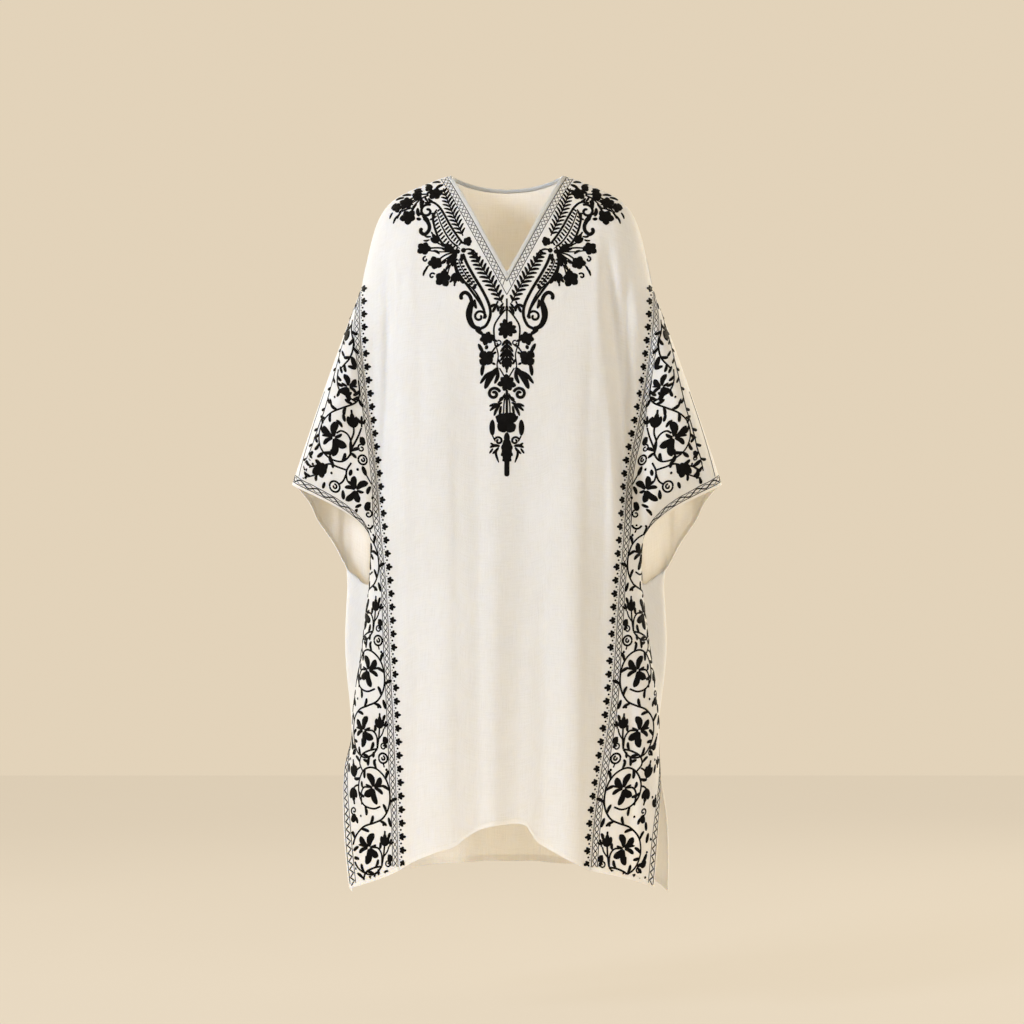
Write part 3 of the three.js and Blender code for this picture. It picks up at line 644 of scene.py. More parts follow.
    def sew(self) -> None:
        """Joins panel seams, the ridge and the side seams."""
        every = slice(None)
        for body, facing in ((self.front, -1), (self.back, 1)):
            join(body, (every, 0), self.sides[facing, -1], (every, 0))
            join(body, (every, -1), self.sides[facing, 1], (every, 0))
        neck = self.middle - self.NECK_COLUMNS
        for part in (slice(0, neck + 1), slice(self.middle + self.NECK_COLUMNS, None)):
            join(self.front, (0, part), self.back, (0, part))
        for hand in (-1, 1):
            front, back = self.sides[-1, hand], self.sides[1, hand]
            join(front, (0, every), back, (0, every), 0.0)
            closed = slice(UNDERARM_ROW, SLIT_ROW + 1)
            join(front, (closed, -1), back, (closed, -1), 0.4)

    def neck_loop(self) -> tuple[Array, Array]:
        """Points and normals round the neck line, front from left to right and then the back."""
        front = slice(self.middle - self.NECK_COLUMNS, self.middle + self.NECK_COLUMNS + 1)
        back = slice(self.middle + self.NECK_COLUMNS - 1, self.middle - self.NECK_COLUMNS, -1)
        points = np.concatenate([self.front.points[0, front], self.back.points[0, back]])
        normals = np.concatenate([self.front.normals[0, front], self.back.normals[0, back]])
        return points, unit(normals)


# ---- Charts: flat places to places on the cloth --------------------------------------------------------
class Chart(Protocol):
    """Lays flat places on the cloth's outer face."""

    def at(self, u: Array, v: Array) -> tuple[Array, Array]:
        """Points on the cloth and their normals."""

    def keeps(self, u: Array, v: Array) -> Array:
        """True where thread may lie."""


def sample(grid: Array, row: Array, col: Array) -> Array:
    """Reads a grid between its points."""
    row = np.clip(row, 0, grid.shape[0] - 1.001)
    col = np.clip(col, 0, grid.shape[1] - 1.001)
    i, j = row.astype(int), col.astype(int)
    s, t = (row - i)[..., None], (col - j)[..., None]
    top = grid[i, j] * (1 - t) + grid[i, j + 1] * t
    low = grid[i + 1, j] * (1 - t) + grid[i + 1, j + 1] * t
    return top * (1 - s) + low * s


class BodyChart:
    """The front body by its place in the front view."""

    def __init__(self, garment: Garment) -> None:
        """Keeps the panel's outer face."""
        self.panel = garment.front
        self.columns = garment.columns
        outer, _ = self.panel.faces_out()
        self.grid = np.concatenate([outer, unit(self.panel.normals)], -1)

    def at(self, u: Array, v: Array) -> tuple[Array, Array]:
        """Points and normals at x and z."""
        sheet = self.panel.sheet
        across = (u - sheet.body.read("sway", v)) / sheet.body.read("seam", v)
        top, hem = sheet.top_z(across * SEAM_TOP_X), sheet.hem.read("z", np.clip(across, -1, 1))
        level = mix(SEAM_TOP_Z, sheet.seam_end, (top - v) / (top - hem))
        row = np.interp(-level, -sheet.levels(), np.arange(len(self.grid)))
        col = np.interp(across, self.columns, np.arange(len(self.columns)))
        found = sample(self.grid, row, col)
        return found[..., :3], unit(found[..., 3:])

    def keeps(self, u: Array, v: Array) -> Array:
        """True below the ridge and above the hem."""
        sheet = self.panel.sheet
        across = np.clip((u - sheet.body.read("sway", v)) / sheet.body.read("seam", v), -1, 1)
        return (v < sheet.top_z(across * SEAM_TOP_X) - 1.5) & (v > sheet.hem.read("z", across) + 5)


class SideChart:
    """A side panel by distance out from its panel seam, measured along the level cloth, and by height."""

    STEP = 2.0
    REACH = 200.0

    def __init__(self, panel: Panel) -> None:
        """Cuts the panel's outer face at every level."""
        outer, _ = panel.faces_out()
        rows, cols = outer.shape[:2]
        across = np.linalg.norm(np.diff(outer, axis=1), axis=2)
        to_edge = np.concatenate([np.cumsum(across[:, ::-1], axis=1)[:, ::-1], np.zeros((rows, 1))], axis=1)
        down = np.linalg.norm(np.diff(outer, axis=0), axis=2)
        to_ridge = np.concatenate([np.zeros((1, cols)), np.cumsum(down, axis=0)], axis=0)
        to_hem = to_ridge[-1:] - to_ridge
        data = np.concatenate([
            outer, unit(panel.normals), to_edge[..., None], to_ridge[..., None], to_hem[..., None],
        ], -1)
        self.levels = np.arange(SEAM_TOP_Z - 1, outer[..., 2].min(), -self.STEP)
        distance = np.arange(0, self.REACH, self.STEP)
        ridge = data[0]
        table = []
        for level in self.levels:
            inside = ridge[:, 2] >= level
            section = [self.cut(data[:, j], level) for j in range(cols) if inside[j]]
            if not inside.all():
                section.append(self.cut(ridge, level))
            section = np.array(section)
            length = run_length(section[:, :3])
            table.append(np.stack([np.interp(distance, length, channel) for channel in section.T], -1))
        self.table = np.array(table)

    @staticmethod
    def cut(column: Array, level: float) -> Array:
        """Everything that a line of the panel holds, where it passes a level."""
        return np.array([np.interp(-level, -column[:, 2], channel) for channel in column.T])

    def read(self, u: Array, v: Array) -> Array:
        """All that is known at a distance from the seam and a height."""
        return sample(self.table, (self.levels[0] - v) / self.STEP, u / self.STEP)

    def at(self, u: Array, v: Array) -> tuple[Array, Array]:
        """Points and normals."""
        found = self.read(u, v)
        return found[..., :3], unit(found[..., 3:6])

    def keeps(self, u: Array, v: Array) -> Array:
        """True clear of the borders, the ridge and the hem."""
        found = self.read(u, v)
        border = np.where(v < UNDERARM_Z, 17.5, 20.5)
        ridge = np.where(v > -360, 2.5, 13.0)
        clear = (found[..., 6] > border) & (found[..., 7] > ridge) & (found[..., 8] > 7)
        return clear & (u > 0) & (v < SEAM_TOP_Z - 3)


class EdgeChart:
    """Cloth beside an edge: u runs along the edge and v goes in from it."""

    def __init__(self, outer: Array, normals: Array) -> None:
        """Keeps lines that go in from the edge.

        Args:
            outer: one row of points for each line, from the edge inwards.
            normals: their normals.
        """
        reach = np.linalg.norm(np.diff(outer, axis=1), axis=2)
        reach = np.concatenate([np.zeros((len(outer), 1)), np.cumsum(reach, axis=1)], axis=1)
        inward = np.arange(0, 40, 1.0)
        data = np.concatenate([outer, unit(normals)], -1)
        self.table = np.array([
            np.stack([np.interp(inward, reach[i], channel) for channel in data[i].T], -1)
            for i in range(len(data))
        ])
        self.along = run_length(outer[:, 0])
        self.length = float(self.along[-1])

    def at(self, u: Array, v: Array) -> tuple[Array, Array]:
        """Points and normals at a distance along the edge and in from it."""
        row = np.interp(u, self.along, np.arange(len(self.along)))
        found = sample(self.table, row, v)
        return found[..., :3], unit(found[..., 3:])

    def keeps(self, u: Array, v: Array) -> Array:
        """True over the whole edge."""
        return (u >= 0) & (u <= self.length) & (v >= 0)


# ---- Strokes of thread ---------------------------------------------------------------------------------
class End(Enum):
    """How a stroke's width runs from its start to its end."""

    ROUND = "round"
    POINT = "point"
    BOTH = "both"
    LEAF = "leaf"
    DROP = "drop"


@dataclass(frozen=True)
class Stroke:
    """One line of stitches: its middle line and its width at each point."""

    points: Array
    widths: Array


def resample(points: Array, step: float) -> Array:
    """The same line with evenly spaced points."""
    length = run_length(points)
    count = max(3, int(math.ceil(length[-1] / step)) + 1)
    places = np.linspace(0, length[-1], count)
    return np.stack([np.interp(places, length, points[:, k]) for k in range(2)], -1)


def curve(points: Points | Array, step: float = 1.7) -> Array:
    """A smooth line through a few points."""
    knots = np.asarray(points, float)
    if len(knots) == 2:
        return resample(knots, step)
    spread = np.vstack([2 * knots[0] - knots[1], knots, 2 * knots[-1] - knots[-2]])
    t = np.linspace(0, 1, 12, endpoint=False)[:, None]
    parts = []
    for a, b, c, d in zip(spread[:-3], spread[1:-2], spread[2:-1], spread[3:]):
        cubic = (-a + 3 * b - 3 * c + d) * t ** 3
        parts.append(0.5 * (2 * b + (c - a) * t + (2 * a - 5 * b + 4 * c - d) * t ** 2 + cubic))
    return resample(np.vstack([*parts, knots[-1:]]), step)


def profile(end: End, t: Array) -> Array:
    """A stroke's width along its length, as a share of the greatest."""
    if end is End.POINT:
        return 1 - 0.62 * smoothstep((t - 0.3) / 0.7)
    if end is End.BOTH:
        return 0.34 + 0.66 * np.sin(np.pi * t)
    if end is End.LEAF:
        return np.sin(np.pi * (0.1 + 0.8 * t)) ** 0.8
    if end is End.DROP:
        return 0.3 + 0.7 * np.sin(np.pi * (0.05 + 0.9 * t) ** 1.3)
    return np.ones_like(t)


def stroke(points: Points | Array, width: float, end: End = End.ROUND, step: float = 1.7) -> Stroke:
    """A line of stitches along a smooth line, with round ends.

    Args:
        points: a few points of the line.
        width: its greatest width as drawn; sewn thread spreads a little more.
        end: how the width runs.
        step: distance between its points.

    Returns:
        The stroke.
    """
    width = width + SPREAD
    line = curve(points, step)
    length = run_length(line)
    total = length[-1]
    cap = min(width * 0.42, total * 0.3)
    count = max(2, int(math.ceil((total - 2 * cap) / step)) + 1)
    inner = np.linspace(cap, total - cap, count)
    ends = np.array([0, 0.16, 0.52]) * cap
    places = np.concatenate([ends, inner, total - ends[::-1]])
    line = np.stack([np.interp(places, length, line[:, k]) for k in range(2)], -1)
    near = np.clip(np.minimum(places, total - places) / cap, 0, 1)
    widths = width * profile(end, places / total) * np.maximum(np.sqrt(1 - (1 - near) ** 2), 0.12)
    return Stroke(line, widths)


def petal(base: tuple[float, float], angle: float, length: float, width: float, bend: float = 0.0,
          end: End = End.LEAF) -> Stroke:
    """A filled petal or leaf.

    Args:
        base: where it grows from.
        angle: its direction in degrees, 0 along u and 90 along v.
        length: its length.
        width: its greatest width.
        bend: how far its middle is pushed to its left, as a share of its length.
        end: how its width runs.

    Returns:
        The petal's stroke.
    """
    way = math.radians(angle)
    along = np.array([math.cos(way), math.sin(way)])
    side = np.array([-along[1], along[0]])
    start = np.array(base, float)
    middle = start + along * length * 0.5 + side * bend * length
    steps = 1.4 if length < 16 else 1.9
    return stroke([start, middle, start + along * length], width, end, steps)


def dot(centre: tuple[float, float], radius: float) -> Stroke:
    """A knot of thread."""
    u, v = centre
    line = np.array([[u - radius, v], [u - radius * 0.5, v], [u, v], [u + radius * 0.5, v], [u + radius, v]])
    return Stroke(line, 2 * radius * np.array([0.25, 0.86, 1.0, 0.86, 0.25]))


def arc(centre: tuple[float, float], radius: float, start: float, sweep: float,
        end_radius: float | None = None, count: int = 0) -> Array:
    """Points of an arc or spiral about a centre; angles in degrees."""
    count = count or max(6, int(abs(sweep) / 14))
    last = radius if end_radius is None else end_radius
    angle = np.radians(start + np.linspace(0, 1, count) * sweep)
    reach = np.linspace(radius, last, count)
    return np.stack([centre[0] + reach * np.cos(angle), centre[1] + reach * np.sin(angle)], -1)


def turned(strokes: Sequence[Stroke], u: float, v: float, angle: float = 0.0, size: float = 1.0,
           mirror: bool = False) -> list[Stroke]:
    """Strokes made round the origin, moved to a place, turned, scaled and, if asked, mirrored first."""
    way = math.radians(angle)
    turn = np.array([[math.cos(way), math.sin(way)], [-math.sin(way), math.cos(way)]])
    flip = np.array([-1.0 if mirror else 1.0, 1.0])
    return [Stroke((s.points * flip) @ turn * size + np.array([u, v]), s.widths * size) for s in strokes]


def mirrored(strokes: Sequence[Stroke]) -> list[Stroke]:
    """The strokes and their mirror image about u = 0."""
    return [*strokes, *(Stroke(s.points * np.array([-1.0, 1.0]), s.widths) for s in strokes)]


# ---- Motifs, each about the origin and growing up ------------------------------------------------------
def blossom(radius: float, petals: int = 5, turn: float = 90.0) -> list[Stroke]:
    """A round flower of full petals with a knot in the middle."""
    parts = [dot((0, 0), radius * 0.5)]
    for k in range(petals):
        reach = radius * (1 + 0.09 * math.sin(2.3 * k + radius))
        angle = turn + 360 * k / petals + 5 * math.sin(1.7 * k + turn)
        parts.append(petal((0, 0), angle, reach, radius * 3.9 / petals, 0, End.DROP))
    return parts


def iris(size: float) -> list[Stroke]:
    """The flower of the scrolls: four full petals that turn outwards and spikes between them."""
    return [
        petal((-0.6, 1.6), 112, size * 1.06, size * 0.46, -0.14, End.DROP),
        petal((1.6, 1.2), 50, size * 0.98, size * 0.44, -0.12, End.DROP),
        petal((-1.6, -0.6), 218, size * 0.92, size * 0.5, 0.12, End.DROP),
        petal((0.4, -1.8), -80, size * 1.16, size * 0.44, -0.12, End.DROP),
        petal((2, 0), 12, size * 0.8, size * 0.16, 0.1, End.BOTH),
        petal((2, -1), -28, size * 0.82, size * 0.24, 0.12, End.DROP),
        petal((0.4, 2), 82, size * 0.72, size * 0.07, 0.05, End.BOTH),
        petal((-2, 1), 158, size * 0.55, size * 0.16, 0.1, End.BOTH),
        petal((-0.6, -2), -114, size * 0.6, size * 0.06, 0.05, End.BOTH),
    ]


def tulip(size: float) -> list[Stroke]:
    """A tulip bud with three points."""
    return [
        petal((0, 0), 90, size, size * 0.34, 0, End.LEAF),
        petal((0, 0), 112, size * 0.82, size * 0.3, 0.1, End.LEAF),
        petal((0, 0), 68, size * 0.82, size * 0.3, -0.1, End.LEAF),
        stroke([(0, size * 0.86), (0.3, size * 1.22)], size * 0.1),
        dot((0, size * 0.12), size * 0.15),
    ]


def sprig(size: float) -> list[Stroke]:
    """Three small leaves on a stalk."""
    return [
        petal((0, size * 0.25), 90, size * 0.75, size * 0.2),
        petal((0, size * 0.15), 128, size * 0.7, size * 0.2, 0.1),
        petal((0, size * 0.15), 52, size * 0.7, size * 0.2, -0.1),
        stroke([(0, -size * 0.2), (0, size * 0.4)], size * 0.1),
    ]


def comma(size: float) -> list[Stroke]:
    """A full drop that tapers into a coiled tail."""
    coil = arc((0, -size * 0.3), size * 0.34, 60, 430, size * 0.06, 26)
    head = np.array([(size * 0.02, size * 0.6), (size * 0.18, size * 0.36)])
    line = curve(np.vstack([head, coil]), 1.3)
    t = run_length(line) / run_length(line)[-1]
    widths = size * (0.1 + 0.4 * np.exp(-(((t - 0.13) / 0.12) ** 2)))
    widths = widths * np.clip(0.25 + t * 14, 0, 1)
    drop = petal((size * 0.02, size * 0.5), -70, size * 0.62, size * 0.46, 0.1, End.LEAF)
    return [Stroke(line, widths), drop]


def ring(radius: float, width: float) -> list[Stroke]:
    """A ring with a small coil inside."""
    return [
        stroke(arc((0, 0), radius, 0, 360, None, 20), width, End.ROUND, 1.4),
        stroke(arc((0, 0), radius * 0.48, 90, 330, radius * 0.2, 14), width * 0.9, End.ROUND, 1.2),
    ]


def fir(length: float, half_width: float, pairs: int, width: float) -> list[Stroke]:
    """A leafy spray that points down: a spine with paired leaves that grow shorter to the tip."""
    parts = [stroke([(0, 0), (0, -length)], width, End.POINT)]
    for k in range(pairs):
        t = k / pairs
        reach = half_width * math.sin(math.pi * (0.25 + 0.7 * t)) * 1.25
        base = (0, -length * (0.02 + 0.8 * t))
        parts.append(petal(base, -50, reach, width * 1.1, 0.02))
        parts.append(petal(base, 230, reach, width * 1.1, -0.02))
    return parts


def barbs(line: Points, places: Sequence[tuple[float, int]], length: float, width: float) -> list[Stroke]:
    """Short leaves beside a vine.

    Args:
        line: the vine's points.
        places: share of the vine's length and side, 1 left and -1 right, of each leaf.
        length: how long the leaves are.
        width: how wide they are.

    Returns:
        The leaves' strokes.
    """
    path = curve(line)
    reach = run_length(path)
    parts = []
    for share, side in places:
        at = share * reach[-1]
        point = np.array([np.interp(at, reach, path[:, k]) for k in range(2)])
        ahead = np.array([np.interp(at + 2, reach, path[:, k]) for k in range(2)])
        behind = np.array([np.interp(at - 2, reach, path[:, k]) for k in range(2)])
        way = math.degrees(math.atan2(*(ahead - behind)[::-1]))
        parts.append(petal(tuple(point), way + side * 52, length, width, -side * 0.08, End.DROP))
    return parts


class Embroidery:
    """Thread gathered into one mesh."""

    SINK = 0.3

    def __init__(self) -> None:
        """Starts empty."""
        self.points: list[Array] = []
        self.quads: list[Array] = []
        self.grain: list[Array] = []
        self.count = 0

    def sew(self, chart: Chart, strokes: Sequence[Stroke], fuller: float = 0.0, clip: bool = True) -> None:
        """Lays strokes, made fuller, on the cloth, cut where the chart keeps no thread."""
        for one in strokes:
            widths = one.widths + fuller
            if not clip:
                self.lay(chart, one.points, widths)
                continue
            kept = chart.keeps(one.points[:, 0], one.points[:, 1])
            cuts = np.flatnonzero(np.diff(np.concatenate([[0], kept.astype(int), [0]])))
            for first, last in zip(cuts[::2], cuts[1::2]):
                if last - first >= 3:
                    self.lay(chart, one.points[first:last], widths[first:last])

    def lay(self, chart: Chart, line: Array, widths: Array) -> None:
        """Adds one raised ribbon."""
        tangent = unit(np.gradient(line, axis=0))
        side = np.stack([-tangent[:, 1], tangent[:, 0]], -1)
        widest = float(widths.max())
        if widest < 2.2:
            section, lift = np.array([-0.5, 0.0, 0.5]), np.array([0.0, 1.0, 0.0])
        elif widest < 5:
            section, lift = np.array([-0.5, -0.28, 0.0, 0.28, 0.5]), np.array([0.0, 0.8, 1.0, 0.8, 0.0])
        else:
            section = np.array([-0.5, -0.4, -0.2, 0.0, 0.2, 0.4, 0.5])
            lift = np.array([0.0, 0.7, 0.94, 1.0, 0.94, 0.7, 0.0])
        offset = section[None, :] * widths[:, None]
        flat = line[:, None, :] + side[:, None, :] * offset[..., None]
        place, normal = chart.at(flat[..., 0], flat[..., 1])
        crown = np.clip(0.3 + 0.17 * widths, 0.4, 1.25)
        height = lift[None, :] * (crown[:, None] + self.SINK) - self.SINK
        self.points.append((place + normal * height[..., None]).reshape(-1, 3))
        rows, cols = offset.shape
        number = np.arange(rows * cols).reshape(rows, cols) + self.count
        corners = [number[:-1, :-1], number[:-1, 1:], number[1:, 1:], number[1:, :-1]]
        quads = np.stack(corners, -1).reshape(-1, 4)
        outer = np.cross(place[1, 0] - place[0, 0], place[0, -1] - place[0, 0]) @ normal[0, 0]
        self.quads.append(quads if outer < 0 else quads[:, ::-1])
        along = np.broadcast_to(run_length(line)[:, None], offset.shape)
        self.grain.append(np.stack([offset, along], -1).reshape(-1, 2) * MM)
        self.count += rows * cols


# ---- Patterns ------------------------------------------------------------------------------------------
@dataclass(frozen=True)
class ThreadWidths:
    """Widths of the thread lines as drawn."""

    fine: float = 1.0
    line: float = 1.0
    stem: float = 1.7
    bold: float = 3.0


THREAD = ThreadWidths()


def zigzag(start: float, end: float, low: float, high: float, pitch: float) -> Array:
    """A zigzag along u between two values of v."""
    count = max(2, int(round((end - start) / pitch)) * 2)
    u = np.linspace(start, end, count + 1)
    v = np.where(np.arange(count + 1) % 2 == 0, low, high)
    return resample_corners(np.stack([u, v], -1))


def resample_corners(points: Array, step: float = 2.4) -> Array:
    """The same line with more points, its corners kept."""
    parts = []
    for a, b in zip(points[:-1], points[1:]):
        count = max(1, int(round(np.linalg.norm(b - a) / step)))
        parts.append(a + (b - a) * (np.arange(count) / count)[:, None])
    return np.vstack([*parts, points[-1:]])


def even(points: Array, width: float) -> Stroke:
    """A stroke of one width through given points."""
    return Stroke(points, np.full(len(points), width))


class Filling(Enum):
    """What lies between the two lines of a border."""

    TWIST = "twist"
    ZIGZAG = "zigzag"


@dataclass(frozen=True)
class Border:
    """Two lines along an edge with a twist or a zigzag between them."""

    filling: Filling
    inner: float
    outer: float
    pitch: float

    def strokes(self, start: float, end: float) -> list[Stroke]:
        """The border from start to end along the edge."""
        steps = np.arange(start, end, 2.6)
        low, high = self.inner + 2.2, self.outer - 2.2
        parts = [even(np.stack([steps, np.full_like(steps, v)], -1), 2.1) for v in (self.inner, self.outer)]
        if self.filling is Filling.ZIGZAG:
            return [*parts, even(zigzag(start, end, low, high, self.pitch), 2.7)]
        swing = (high - low) / 2 * np.sin(steps * 2 * np.pi / self.pitch)
        parts.append(even(np.stack([steps, (low + high) / 2 + swing], -1), 2.9))
        parts.append(even(np.stack([steps, (low + high) / 2 - swing], -1), 1.9))
        return parts


class NeckPattern:
    """Thread round the V neck and down the front."""

    TOP = (107.0, -2.0)
    TIP_Z = -198.0

    def strokes(self) -> list[Stroke]:
        """All strokes of the neck, both sides."""
        half = [
            *self.border(), *self.upper_fern(), *self.upper_paisley(), *self.lower_fern(),
            *self.lower_paisley(), *self.cluster(), *self.shoulder(), *self.placket_side(),
        ]
        return [*mirrored(half), *self.placket_middle()]

    def border(self) -> list[Stroke]:
        """Two lines and zigzags along the V, to the middle."""
        slope = np.array([-self.TOP[0], self.TIP_Z - self.TOP[1]])
        along = slope / np.linalg.norm(slope)
        out = np.array([-along[1], along[0]])

        def line(offset: float, shift: float = 0.0) -> Array:
            """A line beside the V, from its top to the middle."""
            end = (self.TOP[0] + out[0] * offset) / -along[0]
            steps = np.append(np.arange(1 + shift, end, 2.4), end)
            return np.array(self.TOP) + along * steps[:, None] + out * offset

        def cross(first: float, second: float) -> Array:
            """A zigzag beside the V."""
            pitch = 8.4
            knots = []
            k = 0
            while True:
                offset = first if k % 2 == 0 else second
                point = np.array(self.TOP) + along * (3 + k * pitch) + out * offset
                if point[0] < 1:
                    break
                knots.append(point)
                k += 1
            return resample_corners(np.array(knots))

        return [
            even(line(1.8), THREAD.fine * 1.1), even(line(13.2), THREAD.fine * 1.1),
            even(cross(3.0, 12.0), THREAD.fine * 0.9), even(cross(12.0, 3.0), THREAD.fine * 0.75),
        ]

    @staticmethod
    def fern(spine: Points, left: float, right: float, gap: float, width: float) -> list[Stroke]:
        """A spine with slanting leaves on both sides.

        Args:
            spine: the middle line, from its base to its tip.
            left: length of the leaves on the left of its way.
            right: length of those on the right.
            gap: distance between leaves.
            width: how wide a leaf is.

        Returns:
            The strokes.
        """
        path = curve(spine)
        reach = run_length(path)
        parts = [stroke(spine, THREAD.line)]
        at = gap * 0.5
        while at < reach[-1] - 1:
            share = at / reach[-1]
            size = 0.72 + 0.4 * math.sin(math.pi * share) - 0.25 * share
            point = np.array([np.interp(at, reach, path[:, k]) for k in range(2)])
            ahead = np.array([np.interp(at + 2, reach, path[:, k]) for k in range(2)])
            way = math.degrees(math.atan2(*(ahead - point)[::-1]))
            parts.append(petal(tuple(point), way + 48, left * size, width, -0.08))
            parts.append(petal(tuple(point), way - 48, right * size, width, 0.08))
            at += gap
        return parts

    def upper_fern(self) -> list[Stroke]:
        """Leaves between the border and the upper paisley."""
        spine = [(77, -120), (87, -98), (99, -70), (109, -42), (113, -30)]
        return self.fern(spine, 16.5, 15.0, 7.8, 2.6)

    @staticmethod
    def ladder(low: Points, high: Points, rungs: int, width: float) -> list[Stroke]:
        """Pairs of short rungs between two outlines, with a thin line between the pairs."""
        a, b = curve(low, 1.0), curve(high, 1.0)
        shares = np.linspace(0.07, 0.95, rungs)
        first = np.array([a[int(share * (len(a) - 1))] for share in shares])
        across = np.array([b[int(share * (len(b) - 1))] for share in shares]) - first
        parts = [stroke(first + across * 0.5, 0.5)]
        for point, step in zip(first, across):
            parts.append(stroke([point + step * 0.1, point + step * 0.42], width, End.ROUND, 1.2))
            parts.append(stroke([point + step * 0.6, point + step * 0.92], width, End.ROUND, 1.2))
        return parts

    def upper_paisley(self) -> list[Stroke]:
        """A ladder-like curved leaf whose top coils inwards."""
        inner = [(77, -134), (88, -119), (100, -100), (110, -81), (120, -65), (132, -56), (146, -57)]
        outer = [(84, -147), (101, -144), (117, -128), (126, -108), (130, -90), (131, -76)]
        second = [(82, -143), (94, -134), (106, -118), (116, -98), (122, -80)]
        parts = [stroke(inner, 2.8), stroke(outer, 2.8), *self.ladder(inner[:5], outer, 13, 1.9)]
        parts.append(stroke(second, 1.6, End.BOTH))
        parts.append(stroke([(124, -70), (130, -84), (130, -98)], 3.2, End.BOTH))
        parts.append(stroke(arc((141, -73), 13.5, 120, -420, 2.4, 34), 3.2, End.ROUND, 1.3))
        hook = [(147, -85), (138, -96), (137, -108), (145, -116), (152, -111), (150, -104)]
        parts.append(stroke(hook, 5.2))
        parts.append(stroke([(150, -80), (141, -90), (137, -102)], 6.6, End.BOTH))
        parts += [petal((128, -86), -24, 9, 2.6), petal((131, -78), 10, 7, 2.2)]
        return parts

    def lower_fern(self) -> list[Stroke]:
        """Leaves along the lower half of the V."""
        parts = self.fern([(8, -240), (21, -214), (39, -184), (55, -159), (63, -148)], 15.0, 18.0, 8.8, 3.3)
        parts += turned(sprig(19), 17, -240, -155)
        return parts

    def lower_paisley(self) -> list[Stroke]:
        """The long paisley beside the placket, with a hooked outline and a coil at its foot."""
        left = [
            (77, -152), (70, -170), (58, -192), (42, -219), (31, -243), (29, -262), (36, -279), (46, -285),
        ]
        right = [(46, -285), (58, -281), (64, -268), (63, -252), (61, -240), (65, -227), (73, -221),
                 (80, -226), (79, -234)]
        ladder_a = [(79, -158), (73, -172), (62, -190), (48, -212)]
        ladder_b = [(92, -160), (89, -174), (81, -190), (66, -208)]
        parts = [
            stroke(left, 3.6), stroke(right, 5.2),
            stroke([(44, -287), (60, -279), (67, -258), (62, -234)], 9.0, End.BOTH),
            stroke([(91, -158), (89, -176), (80, -194), (63, -217), (47, -240), (39, -256), (40, -268)], 3.0),
            stroke([(71, -203), (56, -219), (45, -238), (38, -256), (37, -268)], 2.2, End.BOTH),
            stroke(arc((48, -264), 11.5, 190, -430, 2.0, 34), 3.0, End.ROUND, 1.3),
            petal((53, -250), 80, 17, 4.6, -0.1),
        ]
        parts += self.ladder(ladder_a, ladder_b, 9, 2.6)
        parts += [dot((57, -212), 3.6), dot((66, -200), 2.8)]
        return parts

    def cluster(self) -> list[Stroke]:
        """Flowers that spread outwards from the joint of the two paisleys."""
        joint = (86, -148)
        parts = [
            *turned(blossom(8.5, 5), 69, -130, 20), dot(joint, 4.0), dot((76, -146), 4.4),
            stroke([(64, -150), (54, -158), (49, -168)], 4.6, End.BOTH),
            stroke([(80, -146), (66, -144), (56, -150), (50, -160)], 2.4, End.BOTH),
            petal((92, -147), 24, 26, 6.2, 0.16), petal((94, -146), 12, 22, 3.4, -0.08),
            petal((88, -150), -74, 26, 9.0, 0.1, End.LEAF), petal((94, -152), -60, 22, 4.2, 0.1),
            petal((80, -152), -88, 15, 5.0, -0.1),
        ]
        flowers = ((146, -142, 12.5, 20), (126, -168, 12.5, 50), (112, -196, 15, 10))
        for u, v, radius, turn in flowers:
            parts += turned(blossom(radius, 5), u, v, turn)
            middle = ((joint[0] + u) / 2 + 2, (joint[1] + v) / 2 + 4)
            parts.append(stroke([joint, middle, (u, v)], THREAD.stem))
            under = ((joint[0] + u) / 2 + 1, (joint[1] + v) / 2 - 3)
            parts.append(stroke([joint, under, (u - 6, v - 3)], THREAD.line))
        parts += turned(tulip(19), 122, -132, -28)
        parts.append(stroke([(104, -142), (114, -136), (122, -132)], THREAD.stem))
        parts += turned(tulip(20), 88, -186, 190)
        parts.append(stroke([(90, -152), (92, -170), (88, -188)], THREAD.stem))
        parts += [
            petal((82, -190), -112, 17, 4.2, 0.1), petal((93, -190), -62, 15, 3.8, -0.1),
            stroke(arc((143, -161), 5.2, 100, -330, 1.2, 20), 1.9),
            stroke(arc((131, -191), 5.6, 150, -330, 1.4, 20), 2.0),
            petal((139, -176), -62, 17, 3.0, 0.1), petal((137, -172), -48, 9, 2.2, 0),
            petal((133, -120), 12, 14, 2.6, -0.15), petal((136, -126), -6, 11, 2.4, -0.1),
            petal((118, -152), 30, 13, 3.4, 0.1), petal((106, -163), -30, 12, 3.4, -0.1),
            petal((99, -172), -50, 13, 3.4, 0.1), petal((110, -178), -95, 8, 2.6, 0.0),
        ]
        return parts

